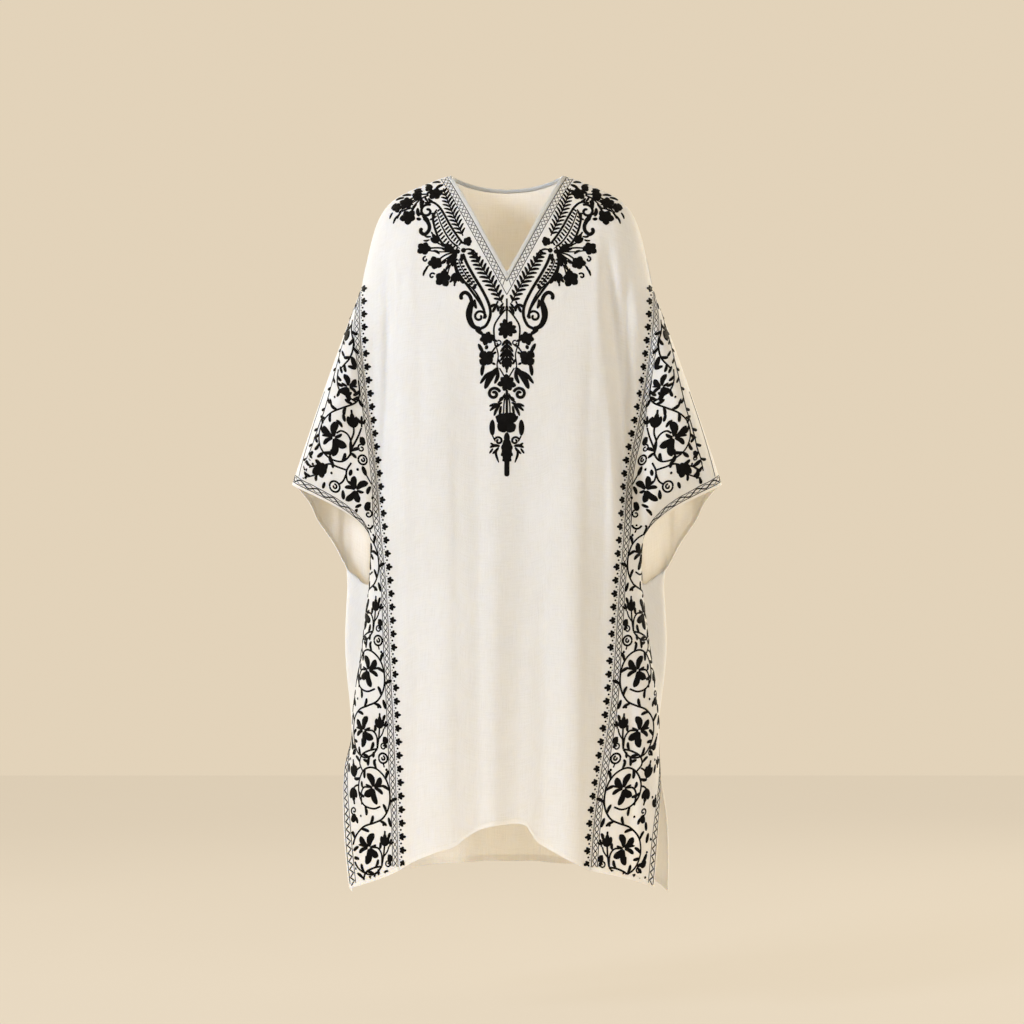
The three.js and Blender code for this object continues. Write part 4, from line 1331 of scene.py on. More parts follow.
    def shoulder(self) -> list[Stroke]:
        """Flowers and leaves over the shoulder."""
        parts = []
        flowers = (
            (127, -40, 12.5, 5, 10), (175, -83, 14.5, 5, 40), (160, -41, 10.0, 5, 60), (179, -56, 12.5, 5, 0),
            (196, -63, 9.5, 5, 30), (139, -27, 7.5, 5, 0),
        )
        for u, v, radius, petals, turn in flowers:
            parts += turned(blossom(radius, petals), u, v, turn)
        leaves = (
            (147, -52, -72, 17, 5.0), (151, -48, -95, 20, 5.4), (158, -66, -100, 17, 5.4),
            (160, -58, -60, 18, 3.8), (150, -34, 10, 16, 4.2), (143, -38, 150, 11, 3.4),
            (166, -60, 20, 14, 3.0), (168, -66, -10, 12, 3.0), (133, -24, 20, 14, 3.0),
            (113, -22, -30, 16, 4.2), (118, -17, 4, 15, 3.2), (160, -86, 190, 9, 4.6),
            (187, -72, -60, 15, 2.8), (193, -78, -62, 18, 3.0), (170, -40, 2, 17, 3.4),
            (183, -44, -12, 16, 3.2), (197, -54, -50, 14, 3.0), (140, -48, -140, 12, 3.2),
            (146, -44, -120, 12, 3.0), (160, -74, 200, 14, 3.8), (203, -72, -66, 13, 2.6),
            (176, -68, -20, 12, 2.6), (164, -50, -30, 13, 2.6), (152, -28, -12, 15, 2.8),
        )
        for u, v, angle, length, width in leaves:
            parts.append(petal((u, v), angle, length, width, 0.08))
        parts += [
            stroke([(139, -42), (150, -47), (162, -58), (168, -72)], THREAD.stem),
            stroke([(139, -40), (152, -40), (168, -46), (184, -56)], THREAD.stem),
            stroke([(150, -46), (164, -53), (182, -64), (192, -74)], THREAD.line),
        ]
        return parts

    def placket_side(self) -> list[Stroke]:
        """The right half of the placket."""
        parts = []
        parts += [
            petal((4, -246), -62, 17, 4.4, 0.1), petal((6, -240), -44, 15, 3.0, -0.1),
            stroke([(3, -252), (14, -266), (22, -281), (22, -300), (20, -316)], THREAD.stem),
            stroke([(18, -318), (15, -332), (17, -350), (14, -364)], THREAD.line * 0.8),
            stroke(arc((14, -310), 4.4, 60, 300, 3.2, 14), THREAD.line),
        ]
        parts += turned(blossom(12.5, 6), 35, -302, 15)
        parts += [
            petal((41, -296), 33, 17, 5.6, 0.05), petal((16, -308), 24, 14, 3.4),
            petal((34, -314), -70, 8, 4.8), petal((21, -318), 150, 11, 3.0),
            petal((8, -336), 120, 14, 3.0, 0.1), petal((10, -348), 60, 12, 2.8),
        ]
        parts += turned(blossom(14.5, 4), 36, -337, 45)
        parts += [
            petal((41, -328), 62, 19, 5.4, 0), petal((40, -346), -80, 22, 5.6, 0.04),
            petal((25, -330), 150, 8, 3.0), petal((26, -345), 205, 7, 3.0),
            stroke([(20, -318), (26, -326), (33, -333)], THREAD.stem),
        ]
        parts += [
            petal((15, -353), -58, 44, 10.0, 0.06), petal((19, -358), -40, 36, 5.4, 0.1),
            petal((16, -356), -78, 26, 5.4, -0.1),
            stroke([(13, -354), (7, -364), (3, -371)], THREAD.line),
        ]
        parts.append(stroke(arc((22.5, -399), 11.0, 165, -500, 1.8, 34), 3.8, End.ROUND, 1.5))
        parts += [
            petal((5, -404), -40, 11, 3.0, 0.1),
            stroke([(3, -398), (9, -409), (16, -414)], THREAD.bold, End.BOTH),
            stroke([(2.6, -402), (5, -416), (5.6, -434)], THREAD.line),
            petal((8, -414), -34, 26, 4.2, 0.06), petal((12, -418), -62, 22, 3.8, 0.06),
            petal((14, -417), -12, 17, 3.8, 0.06), petal((10, -420), -80, 16, 3.2, 0),
        ]
        parts += [
            petal((25, -444), -90, 28, 8.6, 0.02), stroke([(25, -472), (20, -482)], THREAD.line),
            petal((14, -446), 60, 10, 3.4),
        ]
        parts.append(stroke(arc((14.5, -481), 7.4, 20, 440, 1.4, 26), 2.5, End.ROUND, 1.3))
        parts += [
            petal((12, -490), -8, 18, 4.0, 0.12), petal((14, -492), -46, 16, 3.4, -0.05),
            stroke([(15, -492), (19, -503), (14, -519)], 3.0, End.BOTH), petal((22, -489), 34, 8, 2.6),
            petal((24, -494), -55, 11, 2.8),
        ]
        return parts

    def placket_middle(self) -> list[Stroke]:
        """What stands on the middle line, from the V down to the tip."""
        parts = [stroke([(0, -232), (0, -280)], THREAD.stem), petal((0, -244), -90, 12, 4.0)]
        parts += turned(blossom(17.0, 9), 0, -286, 90)
        parts += turned(fir(57, 15, 6, 3.2), 0, -304)
        parts += turned(tulip(20), 0, -338, 180)
        parts += turned(blossom(15.5, 7), 0, -380, 0)
        parts += [stroke([(0, -392), (0, -436)], THREAD.bold), petal((0, -398), -90, 14, 6.0)]
        parts += turned(blossom(20.0, 4), 0, -450, 45)
        parts += [petal((0, -446), 90, 16, 9), petal((0, -466), -90, 20, 9)]
        parts += [
            petal((0, -474), -90, 48, 17.0), petal((0, -484), -52, 15, 7), petal((0, -484), 232, 15, 7),
            petal((0, -496), -48, 15, 6), petal((0, -496), 228, 15, 6), petal((0, -507), -52, 12, 5),
            petal((0, -507), 232, 12, 5),
            stroke([(0, -505), (0, -543)], 7.6),
        ]
        return parts


class SidePattern:
    """Thread on a side panel, by distance out from the panel seam and height."""

    SPROUT_PITCH = 23.6
    UNIT = 206.0
    STRIP_TOP = -628.0

    def band(self) -> list[Stroke]:
        """The braid beside the panel seam."""
        v = np.arange(SEAM_TOP_Z - 4, -1228, -2.4)
        wave = 3.4 * np.sin(v * 2 * np.pi / 22)
        parts = []
        for offset in (2.2, 13.2):
            parts.append(even(np.stack([np.full_like(v, offset), v], -1), 2.1))
        for sign in (1, -1):
            parts.append(even(np.stack([7.7 + sign * wave, v], -1), 2.1))
        return parts

    def scroll(self, u: float, v: float, mirror: bool) -> list[Stroke]:
        """A flower with the arc of vine that curls in to it."""
        parts = turned(iris(24), u, v + 3, 0, 1.0, mirror)
        hook = [(-26, -28), (-26, -8), (-19, 3), (-8, 4)]
        parts += turned([stroke(hook, THREAD.stem)], u, v, 0, 1.0, mirror)
        parts += turned([petal((-22, 2), 96, 12, 3.8, 0.1)], u, v, 0, 1.0, mirror)
        return parts

    def unit(self) -> list[Stroke]:
        """One repeat of the vine: a flower scroll far out and one near the seam, with their fillings."""
        main = [
            (35, -26), (47, -38), (63, -42), (83, -32), (94, -6), (89, 22), (71, 41), (50, 49), (31, 58),
            (18, 77), (14, 101), (19, 125), (32, 141), (50, 147), (67, 139), (79, 119), (79, 97), (68, 80),
            (50, 74), (34, 79),
        ]
        link = [(67, 140), (75, 153), (69, 167), (52, 176), (35, 180)]
        parts = [stroke(main, THREAD.stem), stroke(link, THREAD.stem)]
        parts += barbs(main, (
            (0.05, -1), (0.1, 1), (0.15, -1), (0.205, 1), (0.265, -1), (0.32, 1), (0.37, -1), (0.42, 1),
            (0.47, -1), (0.52, 1), (0.57, -1), (0.62, 1), (0.68, 1), (0.735, -1), (0.79, 1), (0.85, -1),
            (0.92, 1),
        ), 17, 4.2)
        parts += barbs(link, ((0.25, -1), (0.5, 1), (0.8, -1)), 16, 4.2)
        parts += self.scroll(61, 2, False)
        parts += self.scroll(47, 108, True)
        parts += [stroke([(35, -26), (31, -6), (29, 10)], THREAD.stem)]
        parts += turned(tulip(22), 29, 10, 4)
        parts += [stroke([(34, -12), (24, 0), (20, 10)], THREAD.line)]
        parts += turned(sprig(12), 18, 12, 14)
        parts += turned(comma(19), 22, -16, 0, 1.0, True)
        parts += [petal((16, 34), -70, 12, 4.0, 0.1), petal((15, 44), 76, 17, 4.6), dot((30, 47), 2.0)]
        parts += [stroke([(74, 146), (84, 140), (91, 126)], THREAD.stem)]
        parts += turned(tulip(25), 92, 128, -8)
        parts += turned(tulip(24), 96, 108, 172)
        parts += [stroke([(80, 114), (88, 112), (96, 106)], THREAD.stem), petal((84, 136), 60, 14, 4.0)]
        parts += turned(comma(22), 95, 62, 200)
        parts += [petal((84, 46), 60, 15, 4.4, 0.1), petal((104, 34), 100, 16, 4.6), dot((76, 60), 2.0)]
        parts += turned(ring(8.6, 2.0), 24, 164)
        parts += turned(comma(22), 96, 178, -20)
        parts += [
            stroke([(24, 156), (22, 148)], THREAD.line), dot((40, 160), 2.0), dot((18, 144), 2.2),
            petal((52, 156), 20, 13, 4.0), petal((44, 164), 100, 11, 3.6), petal((16, 182), 64, 12, 4.0),
            petal((80, 190), 10, 14, 4.4), petal((64, 184), 80, 13, 4.0), dot((108, 158), 2.0),
            petal((106, 12), 80, 18, 5.0), petal((101, -22), 66, 17, 5.0), petal((99, -40), 130, 13, 4.2),
            petal((110, 134), 84, 16, 4.4), dot((108, -4), 2.0), dot((112, 92), 2.2),
        ]
        parts += turned(sprig(17), 120, 8, -10)
        parts += turned(tulip(18), 120, 74, -6)
        parts += turned(sprig(17), 121, 146, 0)
        return parts

    def strip(self) -> list[Stroke]:
        """The vine below the underarm, down to the hem."""
        parts = []
        for step in range(-1, 4):
            for one in turned(self.unit(), 0, -1202 + step * self.UNIT):
                below = one.points[:, 1] < self.STRIP_TOP
                if below.sum() >= 3:
                    parts.append(Stroke(one.points[below], one.widths[below]))
        return parts

    def sleeve(self) -> list[Stroke]:
        """The vine on the sleeve: a bud spray at the top, two scrolls, a leafy branch and a flower."""
        top = [(20, -262), (19, -283), (15, -306), (25, -332), (48, -352)]
        small = [(54, -352), (57, -372), (52, -391), (38, -402), (23, -411)]
        main = [
            (14, -372), (15, -395), (24, -411), (50, -421), (76, -431), (96, -447), (105, -470), (101, -494),
            (86, -510), (66, -516), (51, -507), (44, -489), (47, -470), (58, -462), (68, -466),
        ]
        lower = [(48, -518), (58, -533), (58, -550), (48, -560)]
        branch = [(58, -531), (72, -526), (88, -520), (106, -524), (124, -524), (142, -532)]
        parts = [stroke(line, THREAD.stem) for line in (top, small, main, lower, branch)]
        parts += barbs(top, ((0.08, 1), (0.2, -1), (0.35, 1), (0.5, -1), (0.68, 1), (0.86, -1)), 15, 4.4)
        parts += barbs(small, ((0.15, -1), (0.32, -1), (0.5, 1), (0.68, -1), (0.88, -1)), 14, 4.2)
        parts += barbs(main, (
            (0.06, 1), (0.11, -1), (0.165, 1), (0.215, -1), (0.27, 1), (0.32, -1), (0.375, 1), (0.43, -1),
            (0.485, 1), (0.54, 1), (0.6, -1), (0.66, 1), (0.73, -1), (0.82, 1),
        ), 17, 4.6)
        parts += barbs(branch, ((0.28, 1), (0.4, -1), (0.52, 1), (0.64, -1), (0.78, 1), (0.92, -1)), 18, 6.0)
        parts += turned(tulip(26), 36, -300, 8)
        parts += [petal((21, -330), -98, 23, 8.4), petal((36, -330), 50, 15, 4.2), dot((29, -348), 2.2)]
        parts += turned(iris(20), 36, -384, 10, 1.0, True)
        parts += [petal((17, -352), 20, 14, 5.2), petal((44, -360), 70, 14, 4.2)]
        parts += turned(iris(27), 74, -474, 0)
        parts += [petal((56, -456), 56, 16, 4.2, 0.1), petal((86, -506), 118, 14, 4.0)]
        parts += [stroke([(48, -506), (46, -484), (37, -466), (35, -452)], THREAD.stem)]
        parts += turned(tulip(26), 36, -456, 2)
        parts += [stroke([(45, -494), (30, -472), (21, -456)], THREAD.stem)]
        parts += turned(sprig(17), 20, -452, 10)
        parts += turned(comma(22), 27, -486, 0, 1.0, True)
        parts += [petal((50, -446), 84, 14, 4.6), dot((48, -426), 2.4)]
        parts += turned(ring(8.2, 2.0), 27, -513)
        parts += [petal((29, -524), -108, 18, 6.6), stroke([(24, -538), (18, -549), (14, -556)], THREAD.line)]
        parts += [petal((38, -510), 50, 12, 4.2), petal((49, -530), -70, 12, 5.0), dot((38, -530), 2.4)]
        parts += turned(iris(23), 44, -566, 40)
        parts += turned(ring(9.6, 2.0), 84, -560)
        parts += [stroke([(58, -536), (66, -550), (75, -556)], THREAD.stem)]
        parts += turned(blossom(14, 5), 108, -531, 30)
        parts += turned(comma(15), 124, -506, 40)
        parts += [petal((69, -566), -86, 17, 6.4, 0, End.DROP), petal((16, -560), -60, 16, 6.0, 0.1)]
        parts += turned(comma(23), 20, -602, 10)
        outer = [(30, -240), (42, -282), (52, -318), (66, -356), (80, -392), (92, -424), (104, -446)]
        reach = [(104, -446), (114, -468), (124, -490), (137, -510), (148, -532)]
        low = [(95, -524), (112, -536), (128, -541), (146, -545)]
        parts += [stroke(line, THREAD.line) for line in (outer, reach, low)]
        parts += barbs(outer, (
            (0.06, 1), (0.13, -1), (0.2, 1), (0.27, -1), (0.35, 1), (0.43, -1), (0.52, 1), (0.6, -1),
            (0.69, 1), (0.78, -1), (0.87, 1), (0.95, -1),
        ), 13, 4.0)
        parts += barbs(reach, ((0.12, 1), (0.27, -1), (0.43, 1), (0.58, -1), (0.74, 1), (0.9, -1)), 14, 4.4)
        parts += barbs(low, ((0.2, 1), (0.45, -1), (0.7, 1), (0.95, -1)), 13, 4.2)
        parts += [
            petal((34, -592), -20, 14, 4.2), petal((42, -600), -50, 15, 4.6, 0.1), dot((14, -580), 2.4),
            petal((98, -500), -30, 16, 5.0), petal((72, -418), 70, 14, 4.2), petal((102, -552), -60, 13, 4.6),
            petal((18, -230), -86, 13, 4.4), dot((86, -536), 2.2), dot((64, -402), 2.0),
            dot((122, -520), 2.2),
        ]
        return parts

    def sprouts(self, sheet: Sheet, hand: int) -> list[Stroke]:
        """Small sprouts on the front body along the panel seam, in the front view, with knots between."""
        parts = []
        for v in np.arange(SEAM_TOP_Z - 1, -1222, -self.SPROUT_PITCH):
            seam = float(sheet.seam_x(hand, v))
            u = seam - hand * 2.2
            middle = 180 if hand > 0 else 0
            for lean, length, width in ((0, 9.6, 3.8), (52, 7.8, 3.4), (-52, 7.8, 3.4), (100, 4.6, 2.4),
                                        (-100, 4.6, 2.4)):
                parts.append(petal((u - hand * 1.6, v), middle + lean, length, width))
            half = v - self.SPROUT_PITCH / 2
            near = float(sheet.seam_x(hand, half))
            parts.append(dot((near - hand * 4.6, half), 1.7))
            parts.append(dot((near - hand * 1.8, half + 5.0), 1.0))
            parts.append(dot((near - hand * 1.8, half - 5.0), 1.0))
        return parts


# ---- Shader kit ----------------------------------------------------------------------------------------
class Wire:
    """A number that varies over a surface, with Python's operators."""

    def __init__(self, book: "NodeBook", socket: bpy.types.NodeSocket) -> None:
        """Wraps an output."""
        self.book = book
        self.socket = socket

    def maths(self, operation: str, first: "Wire | float", second: "Wire | float") -> "Wire":
        """Adds one Math node."""
        node = self.book.node("ShaderNodeMath", {"operation": operation}, {0: first, 1: second})
        return Wire(self.book, node.outputs[0])

    def __add__(self, other: "Wire | float") -> "Wire":
        """This plus the other."""
        return self.maths("ADD", self, other)

    def __radd__(self, other: float) -> "Wire":
        """The other plus this."""
        return self.maths("ADD", other, self)

    def __sub__(self, other: "Wire | float") -> "Wire":
        """This less the other."""
        return self.maths("SUBTRACT", self, other)

    def __rsub__(self, other: float) -> "Wire":
        """The other less this."""
        return self.maths("SUBTRACT", other, self)

    def __mul__(self, other: "Wire | float") -> "Wire":
        """This times the other."""
        return self.maths("MULTIPLY", self, other)

    def __rmul__(self, other: float) -> "Wire":
        """The other times this."""
        return self.maths("MULTIPLY", other, self)

    def sine(self) -> "Wire":
        """Sine of this, in radians."""
        return self.maths("SINE", self, 0.0)


class NodeBook:
    """The nodes of one material."""

    def __init__(self, name: str) -> None:
        """Starts a material with one Principled shader."""
        self.material = bpy.data.materials.new(name)
        self.material.use_nodes = True
        self.tree = self.material.node_tree
        self.tree.nodes.clear()
        self.shader = self.node("ShaderNodeBsdfPrincipled")
        self.node("ShaderNodeOutputMaterial", None, {"Surface": self.shader.outputs[0]})

    def node(self, kind: str, settings: dict | None = None, inputs: dict | None = None) -> bpy.types.Node:
        """Adds a node.

        Args:
            kind: the node's type.
            settings: its own settings, set first.
            inputs: values or links by socket name or number.

        Returns:
            The new node.
        """
        node = self.tree.nodes.new(kind)
        for name, value in (settings or {}).items():
            setattr(node, name, value)
        for name, value in (inputs or {}).items():
            if isinstance(value, Wire):
                value = value.socket
            if isinstance(value, bpy.types.NodeSocket):
                self.tree.links.new(value, node.inputs[name])
            else:
                node.inputs[name].default_value = value
        return node

    def set(self, **values: object) -> None:
        """Sets the shader's sockets, named in small letters with underscores for spaces."""
        sockets = {socket.name.lower().replace(" ", "_"): socket for socket in self.shader.inputs}
        for name, value in values.items():
            socket = sockets[name]
            if isinstance(value, Wire):
                value = value.socket
            if isinstance(value, bpy.types.NodeSocket):
                self.tree.links.new(value, socket)
            else:
                socket.default_value = value

    def flat_place(self) -> bpy.types.NodeSocket:
        """Place in the flat cloth, in metres."""
        return self.node("ShaderNodeUVMap", {"uv_map": "grain"}).outputs[0]

    def body_place(self) -> bpy.types.NodeSocket:
        """Place in the garment, in metres."""
        return self.node("ShaderNodeTexCoord").outputs["Object"]

    def stretch(
        self, place: bpy.types.NodeSocket, factors: tuple[float, float, float],
    ) -> bpy.types.NodeSocket:
        """The place with each axis scaled."""
        return self.node("ShaderNodeVectorMath", {"operation": "MULTIPLY"}, {0: place, 1: factors}).outputs[0]

    def axes(self, place: bpy.types.NodeSocket) -> tuple[Wire, Wire]:
        """The first two numbers of a place."""
        node = self.node("ShaderNodeSeparateXYZ", None, {0: place})
        return Wire(self, node.outputs[0]), Wire(self, node.outputs[1])

    def noise(self, place: bpy.types.NodeSocket, scale: float, detail: float = 2.0) -> Wire:
        """Soft noise from 0 to 1."""
        node = self.node("ShaderNodeTexNoise", None, {"Vector": place, "Scale": scale, "Detail": detail})
        return Wire(self, node.outputs[0])

    def eased(self, value: Wire, low: float, high: float) -> Wire:
        """0 below low, 1 above high and smooth between."""
        settings = {"interpolation_type": "SMOOTHSTEP"}
        node = self.node("ShaderNodeMapRange", settings, {"Value": value, "From Min": low, "From Max": high})
        return Wire(self, node.outputs[0])

    def blend(self, share: Wire, first: tuple, second: tuple) -> bpy.types.NodeSocket:
        """A colour between two by share."""
        node = self.node("ShaderNodeMix", {"data_type": "RGBA"}, {0: share, 6: (*first, 1), 7: (*second, 1)})
        return node.outputs[2]

    def bump(self, height: Wire, distance: float, strength: float) -> bpy.types.NodeSocket:
        """A normal from a height."""
        inputs = {"Height": height, "Distance": distance, "Strength": strength}
        return self.node("ShaderNodeBump", None, inputs).outputs[0]


@dataclass(frozen=True)
class WovenCotton:
    """Cream cotton with a fine crinkled weave and slubs."""

    name: str
    light: tuple[float, float, float] = (0.865, 0.85, 0.83)
    dark: tuple[float, float, float] = (0.79, 0.77, 0.74)
    roughness: float = 0.88
    relief: float = 0.00032
    pitch: float = 0.0011
    glow: float = 0.85

    def material(self) -> bpy.types.Material:
        """Builds the material."""
        book = NodeBook(self.name)
        place = book.flat_place()
        warp = book.noise(book.stretch(place, (620, 26, 0)), 1.0, 2.0)
        weft = book.noise(book.stretch(place, (30, 540, 0)), 1.0, 2.0)
        crepe = book.noise(place, 430, 2.0)
        slub = book.eased(book.noise(book.stretch(place, (380, 11, 0)), 1.0, 1.0), 0.62, 0.8)
        slub_weft = book.eased(book.noise(book.stretch(place, (11, 340, 0)), 1.0, 1.0), 0.64, 0.82)
        cloudy = book.noise(place, 14, 3.0)
        across, down = book.axes(place)
        turn = 2 * math.pi / self.pitch
        weave = (across * turn).sine() * (down * turn).sine()
        height = warp * 0.6 + weft * 0.55 + crepe * 0.5 + slub * 0.5 + slub_weft * 0.4 + weave * 0.1
        tone = book.eased(warp * 0.35 + weft * 0.3 + crepe * 0.15 + cloudy * 0.2, 0.3, 0.62)
        book.set(
            base_color=book.blend(tone, self.dark, self.light),
            roughness=book.eased(crepe, -1.0, 3.0) * 0.1 + (self.roughness - 0.04),
            normal=book.bump(height, self.relief, 0.8),
            subsurface_weight=self.glow,
            subsurface_radius=(1.0, 0.86, 0.66),
            subsurface_scale=0.004,
            sheen_weight=0.08,
            sheen_roughness=0.5,
            specular_ior_level=0.2,
        )
        return book.material


@dataclass(frozen=True)
class SewnThread:
    """Embroidery thread: close strands laid across or along the stroke."""

    name: str
    light: tuple[float, float, float] = (0.0062, 0.0056, 0.0053)
    dark: tuple[float, float, float] = (0.0016, 0.0014, 0.0014)
    roughness: float = 0.6
    gloss: float = 0.07
    strand: float = 0.00062

    def material(self) -> bpy.types.Material:
        """Builds the material."""
        book = NodeBook(self.name)
        place = book.flat_place()
        across, along = book.axes(place)
        strands = ((along + across * 0.55) * (2 * math.pi / self.strand)).sine()
        fuzz = book.noise(book.body_place(), 900, 2.0)
        patches = book.noise(book.body_place(), 90, 2.0)
        tone = book.eased(strands * 0.18 + fuzz * 0.6 + patches * 0.4, 0.3, 0.8)
        book.set(
            base_color=book.blend(tone, self.dark, self.light),
            roughness=fuzz * 0.16 + (self.roughness - 0.08),
            normal=book.bump(strands * 0.5 + fuzz * 0.6, 0.00022, 0.7),
            specular_ior_level=self.gloss,
        )
        return book.material


@dataclass(frozen=True)
class PaleFloor:
    """A plain matt studio floor."""

    name: str
    light: tuple[float, float, float] = (0.13, 0.127, 0.124)
    dark: tuple[float, float, float] = (0.115, 0.112, 0.11)
    glow: tuple[float, float, float] = (0.765, 0.65, 0.49)
    strength: float = 0.83

    def material(self) -> bpy.types.Material:
        """Builds the material."""
        book = NodeBook(self.name)
        cloudy = book.noise(book.body_place(), 1.6, 3.0)
        book.set(base_color=book.blend(cloudy, self.dark, self.light), roughness=0.85, specular_ior_level=0.2)
        book.set(emission_color=(*self.glow, 1.0), emission_strength=self.strength)
        return book.material


# ---- Pieces --------------------------------------------------------------------------------------------
def make_piece(name: str, points: Array, quads: Array, material: bpy.types.Material,
               grain: Array | None = None, rim: Array | None = None) -> bpy.types.Object:
    """Makes a mesh object.

    Args:
        name: the piece's name.
        points: its points, in millimetres.
        quads: its faces.
        material: its finish.
        grain: each point's place in the flat cloth, in metres.
        rim: numbers of outer points whose edges stay sharp, with those of the second face after them.

    Returns:
        The new object.
    """
    mesh = bpy.data.meshes.new(name)
    mesh.from_pydata((points * MM).tolist(), [], quads.tolist())
    mesh.polygons.foreach_set("use_smooth", np.ones(len(mesh.polygons), bool))
    if grain is not None:
        corner = np.empty(len(mesh.loops), np.int32)
        mesh.loops.foreach_get("vertex_index", corner)
        layer = mesh.uv_layers.new(name="grain")
        layer.data.foreach_set("uv", grain[corner].astype(np.float32).ravel())
    if rim is not None:
        side = np.zeros(len(points), np.int8)
        side[rim] = 1
        side[rim + len(points) // 2] = 2
        ends = np.empty(len(mesh.edges) * 2, np.int32)
        mesh.edges.foreach_get("vertices", ends)
        a, b = side[ends[::2]], side[ends[1::2]]
        sharp = mesh.attributes.new("sharp_edge", "BOOLEAN", "EDGE")
        sharp.data.foreach_set("value", (a == b) & (a > 0))
    mesh.materials.append(material)
    mesh.update()
    piece = bpy.data.objects.new(name, mesh)
    bpy.context.scene.collection.objects.link(piece)
    LOG.info("%s: %d points, %d faces", name, len(points), len(quads))
    return piece


@dataclass
class ClothPieces:
    """The panels as cloth, with the cut of each."""

    garment: Garment
    cotton: bpy.types.Material

    CUTS = {
        "front_panel": ((0.54, 1.29), 0.57), "back_panel": ((0.56, 1.31), 0.65),
        "side_front_left": ((0.22, 1.22), 0.135), "side_front_right": ((0.22, 1.22), 0.14),
        "side_back_left": ((0.24, 1.24), 0.16), "side_back_right": ((0.24, 1.24), 0.16),
    }

    def build(self, panel: Panel) -> bpy.types.Object:
        """Makes one panel and puts it in place of its solid."""
        points, quads, rim = panel.shell()
        grain = panel.grain().reshape(-1, 2)
        both = np.concatenate([grain, grain])
        piece = make_piece(f"{panel.name}_cloth", points, quads, self.cotton, both, rim)
        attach(piece, "root")
        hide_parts(panel.name)
        return piece

    def declare(self, pieces: dict[str, bpy.types.Object], thread: dict[str, list[bpy.types.Object]]) -> None:
        """Lists which panel each panel hangs from, and goes no further."""
        hangs = {name: "front_panel" for name in self.CUTS}
        hangs.update(front_panel="back_panel", side_back_left="back_panel", side_back_right="back_panel")


@dataclass
class NeckBinding:
    """A strip folded over the neck edge."""

    garment: Garment
    finish: bpy.types.Material
    width: float = 6.3
    lap: float = 0.8
    cloth: float = 0.5

    def section(self) -> Array:
        """The folded strip's section, as distance into the neck and lift off the cloth, once round."""
        outer = np.array([(-self.lap, 1.22), (1.2, 1.3), (3.2, 1.34), (5.0, 1.2), (5.9, 0.75), (6.3, 0.0)])
        inner = outer - np.array([(0, 0.5), (0, 0.5), (0, 0.5), (0.3, 0.48), (0.45, 0.3), (0.5, 0.0)])
        under = outer[-2::-1] * np.array([1, -1])
        back = inner[::-1]
        return np.concatenate([outer, under, inner[:-1] * np.array([1, -1]), back])

    def build(self) -> bpy.types.Object:
        """Makes the ring."""
        points, normals = self.garment.neck_loop()
        before = points - np.roll(points, 1, axis=0)
        after = np.roll(points, -1, axis=0) - points
        before = unit(before - normals * np.sum(before * normals, axis=1, keepdims=True))
        after = unit(after - normals * np.sum(after * normals, axis=1, keepdims=True))
        tangent = unit(before + after)
        inward = np.cross(normals, tangent) / np.maximum(0.4, np.sum(tangent * after, axis=1, keepdims=True))
        section = self.section()
        inset, lift = section[None, :, :1], section[None, :, 1:]
        grid = points[:, None] + inward[:, None] * inset + normals[:, None] * lift
        rows, cols = grid.shape[:2]
        number = np.arange(rows * cols).reshape(rows, cols)
        a, b = number, np.roll(number, -1, axis=0)
        c, d = np.roll(b, -1, axis=1), np.roll(a, -1, axis=1)
        quads = np.stack([a, d, c, b], -1).reshape(-1, 4)
        along = np.broadcast_to(run_length(points)[:, None], (rows, cols))
        across = np.broadcast_to(run_length(section)[None, :], (rows, cols))
        grain = np.stack([across, along], -1).reshape(-1, 2) * MM
        piece = make_piece("neck_binding_strip", grid.reshape(-1, 3), quads, self.finish, grain)
        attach(piece, "root")
        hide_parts("neck_binding")
        return piece

    def declare(self, piece: bpy.types.Object, rests_on: bpy.types.Object) -> None:
        """Works out the strip's length, and goes no further."""
        length = float(run_length(self.garment.neck_loop()[0])[-1]) * MM


